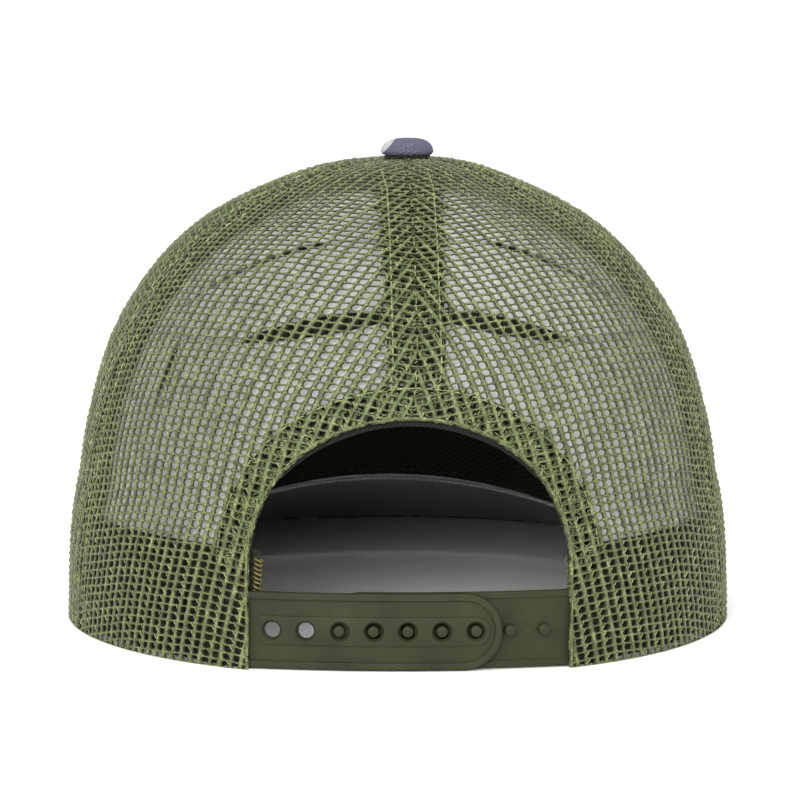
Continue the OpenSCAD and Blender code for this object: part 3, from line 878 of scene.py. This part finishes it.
OVER_ARCH = ARCH_SIDE + ARCH_ROUND + BINDING + 1
OVER_BAND = BAND_TOP + 2
tape_along("rear_seam_tape_cloth", "rear_seam_tape", 0.0, 15, OVER_ARCH, 1.95)
tape_along("front_seam_tape_cloth", "front_seam_tape", math.pi, 11, RIM_LIFT + OVER_BAND, 2.1)
for word, side in SIDES:
    tape_along("side_seam_tape_cloth_" + word, "side_seam_tape_" + word, SIDE_SEAM, 11, OVER_BAND, 1.95, side)
    tape_along("front_side_tape_cloth_" + word, "front_side_tape_" + word, FRONT_SEAM, 11,
               float(lift(FRONT_SEAM)) + OVER_BAND, 2.1, side)


def arch_binding():
    """The dark tape behind the arch's edge; it shows a little inside the mesh's edge."""
    n = 240
    rows = np.linspace(0, 1, 10)
    phi, t = [], []
    _x, flat_z = arch_path(0.0, n)
    peek = -1.1 * np.clip((flat_z - 48) / 12, 0, 1) + 0.5 * (flat_z < 48)
    for row in rows:
        w = peek + (BINDING - peek) * row
        x, z = arch_path(w, n)
        p = phi_at_x(x, np.maximum(z, 0.5))
        phi.append(p)
        t.append(climb_at(p, np.maximum(z, 0.5)))
    phi, t = np.array(phi), np.array(t)
    z = height_at(phi, t)
    top = 1.95 - 0.9 * (1 - np.clip((z - 20) / 5, 0, 1))
    crown_piece("arch_tape_cloth", phi, t, top, top + 0.35, TAPE_EDGE, "seam_tape", "arch_tape")


arch_binding()

# ---- lining, shaper and front panels

LINING_TOP = 96.5
LINING_DROP = 23.5
LINING_AT = math.radians(56)


def sheet_rows(low_z, high_z, phi, rows):
    """A grid of angles and climbs between two heights given at each angle."""
    t0 = climb_at(phi, low_z)
    t1 = climb_at(phi, high_z)
    s = np.linspace(0, 1, rows)
    return phi[:, None] + 0 * s, t0[:, None] + (t1 - t0)[:, None] * s


def lining(word, side):
    phi = np.linspace(FRONT_SEAM + 0.01, np.pi - 0.005, 70)
    away = np.pi - phi
    p, t = sheet_rows(lift(phi) + 2, LINING_TOP - LINING_DROP * (away / LINING_AT) ** 3, phi, 60)
    z = height_at(p, t)
    bow = 0.08 * np.sin(5 * p + 0.08 * z) + 0.05 * np.sin(0.21 * z + 3 * p)
    crown_piece("front_lining_buckram_" + word, p, t, 1.2, 1.75, BUCKRAM, "lining", "front_lining_" + word,
                side, bow)


SHAPER_ABOVE = 0.5
SLIT_FROM, SLIT_TO = math.radians(1.5), math.radians(38)
ARC_FROM, ARC_TO = math.radians(25), math.radians(62)
CLOSED = 0.01


def share(x, a, b):
    return np.clip((x - a) / (b - a), 0, 1)


def shaper_foot(phi):
    """Lower edge of the shaper: over the arch, then just above the sweatband."""
    w = BINDING + 0.8
    x = HALF_W * ring_k(phi, climb_at(phi, 45.0)) * np.sin(phi)
    over = ARCH_SIDE + (ARCH_ROUND + w) * np.sqrt(np.maximum(1 - (x / (ARCH_W + w)) ** 2, 0))
    return np.maximum(np.where(x < ARCH_W + w, over, 0), lift(phi) + BAND_TOP + SHAPER_ABOVE)


def shaper(word, side):
    """The light sheet inside the crown, with its relief slits; it bows a little between them."""
    phi = np.concatenate([np.linspace(0.002, SLIT_TO, 46), np.linspace(SLIT_TO, np.pi - 0.002, 96)[1:]])
    slit = 90 - 9 * share(phi, 0, SLIT_TO) ** 1.5
    slit_half = (0.4 + 5.0 * np.sin(np.pi * share(phi, SLIT_FROM, SLIT_TO)) ** 0.8) / 2
    slit_half = np.where((phi > SLIT_FROM) & (phi < SLIT_TO), slit_half, CLOSED)
    arc = 108 - 22 * share(phi, 0, ARC_TO) ** 3.2
    arc_half = 1.1 * np.sin(np.pi * share(phi, ARC_FROM, ARC_TO)) ** 0.5
    arc_half = np.where((phi > ARC_FROM) & (phi < ARC_TO), arc_half, CLOSED)
    top = height_at(phi, climb_at_k(phi, 0.3))
    near_slit = share(phi, 0.9 * SLIT_TO, 0.6 * SLIT_TO)
    parts = []
    for low, high, rows in ((shaper_foot(phi), slit - slit_half, 26),
                            (slit + slit_half, arc - arc_half, 14),
                            (arc + arc_half, top, 11)):
        p, t = sheet_rows(low, high, phi, rows)
        z = height_at(p, t)
        bow = 0.35 * np.sin(4 * p + 0.07 * z + 1) + 0.2 * np.sin(0.17 * z - 5 * p)
        lip = 0.55 * np.exp(-np.abs(z - slit[:, None]) / 5.0) * near_slit[:, None]
        depth = 3.0 + bow + lip * np.sign(z - slit[:, None])
        parts.append(closed_shell(crown_point(p, t, depth), crown_point(p, t, depth + 0.45)))
    solid("shaper_sheet_" + word, parts, SHAPER, "shaper_sheet", "shaper_" + word, side)
    # dark strips behind the two slits: painted shade, so that the slits look into darkness
    for label, line, reach, start, end in (("slit_painted_shade_", slit, 4.0, SLIT_FROM, SLIT_TO),
                                           ("arc_painted_shade_", arc, 2.0, ARC_FROM, ARC_TO)):
        inside = (phi > start) & (phi < end)
        p, t = sheet_rows(line[inside] - reach, line[inside] + reach, phi[inside], 10)
        crown_piece(label + word, p, t, 4.3, 4.5, TAPE, "shaper_sheet", side=side)
    # a dark strip on the wearer's left: painted shade of a crease in the sheet
    if side > 0:
        z = np.linspace(60, 79, 14)
        s = np.linspace(-0.5, 0.5, 4)
        middle = np.radians(np.linspace(56, 53.5, 14))
        width = 1.5 * np.sin(np.pi * np.linspace(0.06, 0.94, 14)) / HALF_W
        p = middle[:, None] + width[:, None] * s
        crown_piece("shaper_crease_painted_shade", p, climb_at(p, z[:, None] + 0 * s), 2.1, 2.25, TAPE, "shaper_sheet")


def front_panel(word, side):
    phi = np.linspace(FRONT_SEAM + 0.002, np.pi - 0.0002, 64)
    t0 = climb_at(phi, lift(phi))
    t1 = climb_at_k(phi, 0.05)
    s = np.linspace(0, 1, 84)
    p = phi[:, None] + 0 * s
    t = t0[:, None] + (t1 - t0)[:, None] * s
    arc = np.minimum(p - phi[0], phi[-1] - p) * HALF_W * ring_k(p, t)
    seam_dip = 0.35 * np.exp(-arc / 0.9)
    pucker = 0.05 * np.sin(t * 70) * np.exp(-np.abs(arc - 4) / 3)
    crown_piece("front_panel_twill_" + word, p, t, 0.02 + seam_dip + pucker, 0.85, PRINT, "front_fabric",
                "front_panel_" + word, side)
    rows = []
    for seam, offset in ((FRONT_SEAM, 4.5), (math.pi, -4.5)):
        line, climb = offset_meridian(seam, offset, float(lift(seam)) + 1, 0.16)
        rows.append(stitch_row(*crown_line(line, climb), pitch=2.4, radius=0.19, seed=8))
    solid("front_topstitch_" + word, rows, THREAD, "front_fabric", side=side)


for word, side in SIDES:
    shaper(word, side)
    lining(word, side)
    front_panel(word, side)

# ---- sweatband

ARCH_EDGE = float(phi_at_x(ARCH_W, ARCH_SIDE))
BAND_START = ARCH_EDGE - math.radians(0.6)
BAND_STOP = 2 * math.pi - ARCH_EDGE - math.radians(1.8)


def sweatband():
    """A folded band of twill: its inner face bulges a little, its top edge is a stitched fold."""
    phi = np.linspace(BAND_START, BAND_STOP, 260)
    s = np.linspace(0, 1, 24)
    base = lift(phi)[:, None]
    t = climb_at(phi[:, None], base + 0.3 + s * BAND_TOP * 0.995)
    p = phi[:, None] + 0 * s
    roll = 0.45 * np.exp(-((s - 1) / 0.05) ** 2) + 0.35 * np.exp(-(s / 0.06) ** 2)
    wave = 0.16 * np.sin(p * 19) * s + 0.1 * np.sin(p * 43 + 5 * s)
    puff = 0.55 * np.sin(np.pi * s) ** 0.7
    outer = 3.75 + roll * 0.3 + wave
    inner = 4.75 + puff + wave - roll * 0.2
    piece = crown_piece("sweatband_twill_cloth", p, t, outer, inner, SWEAT, "sweatband_fabric", "sweatband")
    rows = []
    for level in (0.06, 0.93):
        points, out = crown_line(phi, climb_at(phi, lift(phi) + level * BAND_TOP), 4.95)
        rows.append(stitch_row(points, -out, pitch=3.0, seed=9))
    solid("sweatband_stitches", rows, BAND_THREAD, "sweatband_fabric")


def band_padding():
    phi = np.linspace(ARCH_EDGE + math.radians(14), 2 * np.pi - ARCH_EDGE - math.radians(14), 200)
    s = np.linspace(0, 1, 12)
    t = climb_at(phi[:, None], lift(phi)[:, None] + 4 + s * (BAND_TOP - 8))
    crown_piece("sweatband_padding_felt", phi[:, None] + 0 * s, t, 2.8, 3.4, TAPE, "padding",
                "sweatband_padding", relief=0.08 * np.sin(phi[:, None] * 60 + s * 9))


def overlock_end(name, phi0, direction):
    """Loops of overlock thread round an end of the sweatband."""
    z = np.linspace(3, 27, 22)
    a = np.linspace(0, 2 * np.pi, 15)
    rand = np.random.default_rng(17)
    paths, outs = [], []
    for level in z:
        along = 1.1 + 1.7 * (0.5 + 0.5 * np.cos(a)) * direction
        depth = 4.5 + 1.15 * np.sin(a)
        height = level + 0.5 * np.sin(a * 0.5) + rand.normal(0, 0.08) + 0.35 * (0.5 - 0.5 * np.cos(a))
        p = phi0 + (along - 1.1 - 1.0 * direction) / HALF_W
        points, out = crown_line(p, climb_at(p, height), depth)
        paths.append(points)
        outs.append(out)
    solid(name, [tubes(np.array(paths), np.array(outs) + 0.001, 0.26, 6)], OVERLOCK, "sweatband_fabric")


sweatband()
band_padding()
overlock_end("sweatband_overlock_left", BAND_START, -1)
overlock_end("sweatband_overlock_right", BAND_STOP, 1)

# ---- button and rivet

def revolved(profile, segments=64):
    """A closed turned shape from (radius, height) pairs that start and end on the axis."""
    a = np.linspace(0, 2 * np.pi, segments, endpoint=False)
    r, z = np.array(profile, float).T
    r = np.maximum(r, 1e-4)
    x = r[None] * np.cos(a)[:, None]
    y = r[None] * np.sin(a)[:, None]
    verts = np.stack([x, y, np.broadcast_to(z, x.shape)], -1)
    return verts.reshape(-1, 3), grid_faces(segments, len(profile), wrap=True)


BUTTON_LOW, BUTTON_HIGH = mm_box("button_cap")
BUTTON_R = (BUTTON_HIGH[0] - BUTTON_LOW[0]) / 2
BUTTON_RISE = 0.5


def button_material():
    mat, g = new_material("button_print", (0.1, 0.1, 0.15), 0.8, Specular_IOR_Level=0.3)
    parts = g.node("ShaderNodeSeparateXYZ")
    g.link(g.coords, parts.inputs[0])
    below_top = g.math("SUBTRACT", BUTTON_HIGH[2] * MM, parts.outputs["Z"])
    slant = g.math("SUBTRACT", parts.outputs["X"], g.math("MULTIPLY", below_top, 0.9))
    wander = g.math("MULTIPLY", g.noise(260, 2), 0.0006)
    hard = g.math("GREATER_THAN", g.math("ADD", slant, wander), 0.0013)
    grain = g.noise(2200, 3)
    ribs = g.wave(360, "DIAGONAL", 1.0)
    mix = g.node("ShaderNodeMix", data_type="RGBA")
    g.link(hard, mix.inputs["Factor"])
    g.link(g.ramp(grain, [(0.3, (0.034, 0.036, 0.06)), (0.7, (0.1, 0.098, 0.14))]), mix.inputs["A"])
    g.link(g.ramp(grain, [(0.3, (0.26, 0.264, 0.28)), (0.7, (0.4, 0.406, 0.42))]), mix.inputs["B"])
    g.colour(mix.outputs["Result"])
    g.rough(grain, 0.7, 0.95)
    g.bump(g.math("ADD", ribs, grain), 0.5, 0.0002)
    return mat


def button():
    low, top = BUTTON_LOW[2] + BUTTON_RISE, BUTTON_HIGH[2] + BUTTON_RISE
    tall = top - low
    a = np.linspace(0, np.pi / 2, 22)
    profile = [(0, low + 0.1), (3, low + 0.05), (5.6, low), (6.5, low + 0.15)]
    profile += [(BUTTON_R * math.cos(v) ** 0.62, low + 0.9 + (tall - 0.9) * math.sin(v) ** 1.05) for v in a]
    verts, faces = revolved(profile, segments=96)
    turn = np.arctan2(verts[:, 1], verts[:, 0])
    pleat = 0.1 * np.sin(turn * 11 + 1) * np.clip((low + 2.2 - verts[:, 2]) / 2.0, 0, 1)
    verts[:, :2] *= 1 + pleat[:, None] / BUTTON_R
    solid("button_cloth", [(verts, faces)], button_material(), "front_fabric", "button_cap")
    collar = [(0, low - 0.7), (5.7, low - 0.8), (6.1, low - 0.4), (6.0, low + 0.3), (0, low + 0.32)]
    solid("button_underside", [revolved(collar)], TAPE, "front_fabric")


def rivet():
    low, high = mm_box("button_rivet")
    r = (high[0] - low[0]) / 2
    base, top = low[2], low[2] + 1.0
    profile = [(0, base + 0.5), (1.3, base + 0.45), (1.8, base + 0.1), (r * 0.7, base), (r - 0.3, base + 0.1),
               (r, base + 0.4), (r - 0.05, top - 0.15), (r - 0.35, top), (1.6, top), (1.5, high[2]),
               (0, high[2])]
    solid("rivet_washer", [revolved(profile)], METAL, "metal", "button_rivet")


button()
rivet()

# ---- visor

VISOR_END = math.radians(66)
VISOR_HALF = 91.0
VISOR_REACH = 68.0
VISOR_ROOT_W, VISOR_ROOT_L = 88.6, 96.0
VISOR_DIP = 16.8
VISOR_BEND_R = 169.0
BOARD_T = 1.8
EDGE_HALF_T = 1.5
BACK_Y = -VISOR_ROOT_L * math.cos(VISOR_END) + 2


def visor_surface(w, r, inset=0.0):
    """Middle of the visor at w across it, -1 to 1, and r from the crown, 0, to its edge, 1."""
    inner_x = (VISOR_ROOT_W + 0.4) * np.sin(w * VISOR_END)
    inner_y = -(VISOR_ROOT_L + 0.4) * np.cos(w * VISOR_END)
    n = 2 / 2.3
    quarter = w * np.pi / 2
    outer_x = np.sign(w) * ((VISOR_HALF - inset) * np.abs(np.sin(quarter)) ** n - 7 * np.abs(w) ** 8)
    outer_y = BACK_Y - (VISOR_ROOT_L + VISOR_REACH + BACK_Y - inset) * np.maximum(np.cos(quarter), 0) ** n
    x = inner_x + (outer_x - inner_x) * r
    y = inner_y + (outer_y - inner_y) * r

    def height(px, py):
        ahead = np.clip((-py - VISOR_ROOT_L) / VISOR_REACH, 0, 1)
        bend = px ** 2 / (2 * VISOR_BEND_R) * (1 - 0.3 * ahead)
        return RIM_LIFT - BOARD_T / 2 - 0.06 * (-py - VISOR_ROOT_L) - VISOR_DIP * ahead ** 1.4 - bend

    error = RIM_LIFT * np.cos(LIFT_RATE * w * VISOR_END) ** 2 - BOARD_T / 2 - height(inner_x, inner_y)
    # the soft front edge lies on the table
    float_gap = (height(outer_x, outer_y) - EDGE_HALF_T) * np.clip((0.9 - np.abs(w)) / 0.2, 0, 1)
    return np.stack([x, y, height(x, y) + error * (1 - r) ** 2 - float_gap * r ** 3], -1)


def visor_normals(points):
    du = np.gradient(points, axis=0)
    dv = np.gradient(points, axis=1)
    n = np.cross(du, dv)
    n /= np.maximum(np.linalg.norm(n, axis=-1, keepdims=True), 1e-9)
    return n * np.sign(n[..., 2:3])


def visor_grid(r0, r1, inset, n=130, m=34):
    w = np.linspace(-0.999, 0.999, n)[:, None]
    r = np.linspace(r0, r1, m)[None]
    points = visor_surface(w + 0 * r, r + 0 * w, inset)
    return points, visor_normals(points)


COVER_LOW, COVER_TOP = 1.05, 1.7
COVER_INSET = 0.25


def visor_cover(name, low, high, material, slot, node, quilting=()):
    points, normals = visor_grid(0.0, 1.0, COVER_INSET)
    n, m = points.shape[:2]
    groove = np.zeros((n, m))
    depth_line = np.linspace(VISOR_REACH, 0, m)[None]
    for inset in quilting:
        groove = groove + 0.16 * np.exp(-((depth_line - inset) / 1.2) ** 2)
    near_edge = np.clip(depth_line / 1.2, 0, 1) ** 0.5
    outer = points + normals * ((high - groove) * (0.55 + 0.45 * near_edge))[..., None]
    inner = points + normals * (low * (0.55 + 0.4 * near_edge))[..., None]
    solid(name, [closed_shell(outer, inner)], material, slot, node)


def visor():
    """The two covers, the upper one stitched in rows, the board between them and the rolled edge."""
    quilting = np.linspace(8, 56, 7)
    visor_cover("visor_top_twill", COVER_LOW, COVER_TOP, PRINT, "front_fabric", "visor_top_cover", quilting)
    rows = []
    w = np.linspace(-0.985, 0.985, 300)
    for k, inset in enumerate(quilting):
        r = np.full_like(w, 1 - inset / VISOR_REACH)
        strip = visor_surface(w[:, None] + np.zeros(3), r[:, None] + np.array([-0.01, 0, 0.01]), COVER_INSET)
        normal = visor_normals(strip)[:, 1]
        rows.append(stitch_row(strip[:, 1] + normal * (COVER_TOP - 0.12), normal, pitch=2.7, seed=k))
    solid("visor_top_twill_stitches", rows, THREAD, "front_fabric")
    visor_cover("visor_under_twill", -COVER_LOW, -COVER_TOP, UNDER, "under_fabric", "visor_under_cover")
    points, normals = visor_grid(0.02, 1.0, 1.3, 90, 20)
    plate = closed_shell(points + normals * BOARD_T / 2, points - normals * BOARD_T / 2)
    solid("visor_board_plate", [plate], BOARD, "visor_board", "visor_board")
    # rolled edge where the top cover wraps the board
    w = np.linspace(-0.999, 0.999, 400)
    path = visor_surface(w, np.ones_like(w), 0.9)
    out = np.tile([0.0, 0.0, 1.0], (len(w), 1))
    solid("visor_edge_fold", [tubes(path[None], out[None], 1.05, 14, flat=1.45)], PRINT, "front_fabric")


visor()

# ---- snap strap

STRAP_X = 39.9
STRAP_T = 1.4
STRAP_FACE_R = 174.0
PEG_FACE_R = STRAP_FACE_R - STRAP_T - 0.5
STRAP_CX = -(STRAP_FACE_R ** 2 - PEG_FACE_R ** 2) / (4 * STRAP_X)
STRAP_CY = 83.5 - math.sqrt(STRAP_FACE_R ** 2 - (STRAP_X - STRAP_CX) ** 2)
STRAP_Z = 10.0
STRAP_HALF = 9.6
SNAP_PITCH = 8.5


def on_strap(x, z, rise, face_r):
    """Point over the strap's face at x along it, at height z from its middle."""
    a = np.arcsin((x - STRAP_CX) / face_r)
    r = face_r + rise
    return np.stack([STRAP_CX + r * np.sin(a), STRAP_CY + r * np.cos(a), STRAP_Z + z + 0 * a], -1)


def tongue(x0, x1, half, profile, face_r):
    """A bar with one round end, its edge shaped by (inset, rise) pairs from back to front."""
    into = 1 if x1 > x0 else -1
    straight = np.arange(0, abs(x1 - x0), 0.5)
    theta = np.linspace(0, np.pi / 2, 26)
    columns = []
    for inset, rise in profile:
        flat_x = x0 + into * straight
        flat_z = np.full_like(straight, half - inset)
        round_x = x1 + into * (half - inset) * np.sin(theta)
        round_z = (half - inset) * np.cos(theta)
        columns.append((np.concatenate([flat_x, round_x]), np.concatenate([flat_z, round_z]), rise))
    stack = [on_strap(x, z, rise, face_r) for x, z, rise in columns]
    stack += [on_strap(x, -z, rise, face_r) for x, z, rise in columns[::-1]]
    grid = np.stack(stack, 1)
    n, m = grid.shape[:2]
    faces = grid_faces(n, m)
    at = np.arange(n * m).reshape(n, m)
    loop_back = np.stack([at[:-1, -1], at[1:, -1], at[1:, 0], at[:-1, 0]], -1)
    faces = np.concatenate([faces, loop_back])
    end_cap = list(at[0])
    return grid.reshape(-1, 3), [tuple(f) for f in faces] + [tuple(end_cap)]


def welded(name, verts, faces, material):
    """A piece whose doubled points are merged, ready for boolean cuts."""
    obj = make(name, verts, faces, material, body=None)
    work = bmesh.new()
    work.from_mesh(obj.data)
    bmesh.ops.remove_doubles(work, verts=work.verts, dist=0.00002)
    bmesh.ops.dissolve_degenerate(work, dist=0.00001, edges=work.edges)
    bmesh.ops.recalc_face_normals(work, faces=work.faces)
    work.to_mesh(obj.data)
    work.free()
    return obj


def cut(obj, tool, operation):
    """Joins tool to obj or takes it away, and removes tool."""
    mod = obj.modifiers.new("cut", "BOOLEAN")
    mod.object = tool
    mod.operation = operation
    mod.solver = "EXACT"
    bpy.context.view_layer.update()
    result = obj.evaluated_get(bpy.context.evaluated_depsgraph_get())
    mesh = bpy.data.meshes.new_from_object(result)
    obj.modifiers.clear()
    old = obj.data
    obj.data = mesh
    bpy.data.meshes.remove(old)
    bpy.data.objects.remove(tool)


def turned_on_strap(profile, x, face_r):
    """A turned shape whose axis stands on the strap's face at x."""
    verts, faces = revolved(profile, segments=40)
    a = math.asin((x - STRAP_CX) / face_r)
    out = np.array([math.sin(a), math.cos(a), 0])
    along = np.array([math.cos(a), -math.sin(a), 0])
    up = np.array([0, 0, 1.0])
    origin = on_strap(np.array(x), 0.0, 0.0, face_r)
    placed = origin + verts[:, :1] * along + verts[:, 1:2] * up + verts[:, 2:3] * out
    return placed, oriented(placed, faces)


# Outlines of the mouldings: pairs of inset or radius, and rise over the strap's face
LOW_RIM = [(0.35, -STRAP_T), (0.1, -STRAP_T + 0.1), (0.0, -STRAP_T + 0.35), (0.0, 0.1), (0.08, 0.3),
           (0.28, 0.4), (1.5, 0.4), (1.66, 0.32), (1.74, 0.05), (1.8, 0.0)]
TALL_RIM = [(0.35, -STRAP_T), (0.1, -STRAP_T + 0.1), (0.0, -STRAP_T + 0.35), (0.0, 0.3), (0.1, 0.62),
            (0.34, 0.75), (1.5, 0.75), (1.72, 0.62), (1.84, 0.1), (1.92, 0.0)]
PAD_PROFILE = [(0.0, -0.3), (0.0, 0.24), (0.08, 0.36), (0.26, 0.4)]
HOLE_PROFILE = [(0, -3), (2.0, -3), (2.0, -0.55), (2.08, -0.4), (2.5, 0.2), (2.64, 0.46), (2.64, 2), (0, 2)]
PEG_PROFILE = [(0, -0.8), (1.62, -0.8), (1.62, -0.02), (1.5, 0.14), (1.45, 0.35), (1.42, 1.75), (1.3, 2.08),
               (1.0, 2.24), (0.6, 2.28), (0, 2.26)]
SNAPS = 7
FIRST_HOLE_X, FIRST_PEG_X = 34.5, 17.5
HOLE_TIP_X, PEG_TIP_X = -13.5, 12.3


def hole_strap_cuts(obj):
    pad = welded("pad", *tongue(37.2, -16.5, 3.65, PAD_PROFILE, STRAP_FACE_R), STRAP)
    cut(obj, pad, "UNION")
    holes = [turned_on_strap(HOLE_PROFILE, FIRST_HOLE_X - i * SNAP_PITCH, STRAP_FACE_R) for i in range(SNAPS)]
    cut(obj, make("holes", *joined(holes), STRAP, body=None), "DIFFERENCE")


def peg_strap_pegs(obj):
    for i in range(SNAPS):
        peg = turned_on_strap(PEG_PROFILE, FIRST_PEG_X - i * SNAP_PITCH, PEG_FACE_R)
        cut(obj, make("peg", *peg, STRAP, body=None), "UNION")


def strap(node, face_r, rim, x_root, x_tip, snaps):
    """One moulding, bent beside its root between two places along it."""
    obj = welded(node + "_moulding", *tongue(x_root, x_tip, STRAP_HALF, rim, face_r), STRAP)
    snaps(obj)
    obj.data.shade_smooth()
    obj.data.set_sharp_from_angle(angle=math.radians(24))
    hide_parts(node)
    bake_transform(obj)


ROOT_X = 42.5
strap("hole_strap", STRAP_FACE_R, TALL_RIM, ROOT_X, HOLE_TIP_X, hole_strap_cuts)
strap("peg_strap", PEG_FACE_R, LOW_RIM, -ROOT_X, PEG_TIP_X, peg_strap_pegs)
GATE_X = -29.4
GATE_PROFILE = [(0, -0.3), (1.35, -0.3), (1.35, 0.04), (1.2, 0.14), (1.0, 0.14), (0.85, 0.02), (0.6, -0.02),
                (0, -0.02)]
gate_mark = turned_on_strap(GATE_PROFILE, GATE_X, PEG_FACE_R)
solid("peg_strap_gate_mark", [gate_mark], STRAP, "strap_plastic", body="peg_strap")

for word, side in (("hole_strap", 1), ("peg_strap", -1)):
    phi = np.linspace(math.radians(28.4), math.radians(37.4), 26)
    s = np.linspace(0, 1, 14)
    t = climb_at(phi[:, None], 0.4 + s * 19.2)
    rounding = 0.3 * np.maximum(np.abs(2 * s - 1) - 0.85, 0) / 0.15
    crown_piece(word + "_sewn_root", phi[:, None] + 0 * s, t, 1.9 + rounding, 3.3 - rounding, STRAP,
                "strap_plastic", word + "_root", side)

# ---- camera, floor and lights

CAMERA_LENS = 185
CAMERA_TARGET = Vector((-0.00064, 0.0, 0.05716))
CAMERA_AZIMUTH, CAMERA_ELEVATION = math.radians(177.98), math.radians(7.17)
CAMERA_DISTANCE = 1.108
FLOOR_HALF = 6.0


def add_camera():
    data = bpy.data.cameras.new("camera")
    data.lens = CAMERA_LENS
    data.sensor_width = 36
    obj = bpy.data.objects.new("camera", data)
    bpy.context.scene.collection.objects.link(obj)
    away = Vector((math.sin(CAMERA_AZIMUTH) * math.cos(CAMERA_ELEVATION),
                   -math.cos(CAMERA_AZIMUTH) * math.cos(CAMERA_ELEVATION),
                   math.sin(CAMERA_ELEVATION)))
    obj.location = CAMERA_TARGET + away * CAMERA_DISTANCE
    obj.rotation_euler = (-away).to_track_quat("-Z", "Y").to_euler()
    bpy.context.scene.camera = obj


def add_area(name, place, target, size, power):
    data = bpy.data.lights.new(name, "AREA")
    data.shape = "RECTANGLE"
    data.size, data.size_y = size, size
    data.energy = power
    obj = bpy.data.objects.new(name, data)
    obj.location = place
    obj.rotation_euler = (Vector(target) - Vector(place)).to_track_quat("-Z", "Y").to_euler()
    bpy.context.scene.collection.objects.link(obj)


def add_stage():
    mesh = bpy.data.meshes.new("floor")
    corners = [(x * FLOOR_HALF, y * FLOOR_HALF, 0) for x, y in ((-1, -1), (1, -1), (1, 1), (-1, 1))]
    mesh.from_pydata(corners, [], [(0, 1, 2, 3)])
    mesh.materials.append(new_material("floor_paper", (0.88, 0.88, 0.88), 0.7)[0])
    floor = bpy.data.objects.new("floor", mesh)
    bpy.context.scene.collection.objects.link(floor)
    world = bpy.data.worlds.new("studio")
    bpy.context.scene.world = world
    world.use_nodes = True
    world.node_tree.nodes["Background"].inputs["Color"].default_value = (1, 1, 1, 1)
    world.node_tree.nodes["Background"].inputs["Strength"].default_value = 1.12
    add_area("key_box", (0.35, 1.7, 0.75), (0, 0, 0.06), 0.7, 26)
    add_area("softbox_left", (1.2, 1.1, 0.9), (0, 0, 0.06), 0.8, 7)
    add_area("softbox_right", (-1.2, 1.1, 0.9), (0, 0, 0.06), 0.8, 7)
    add_area("top_light", (0, 0.1, 1.6), (0, 0, 0), 1.2, 8)


add_camera()
add_stage()
bpy.context.scene.view_settings.view_transform = "Standard"
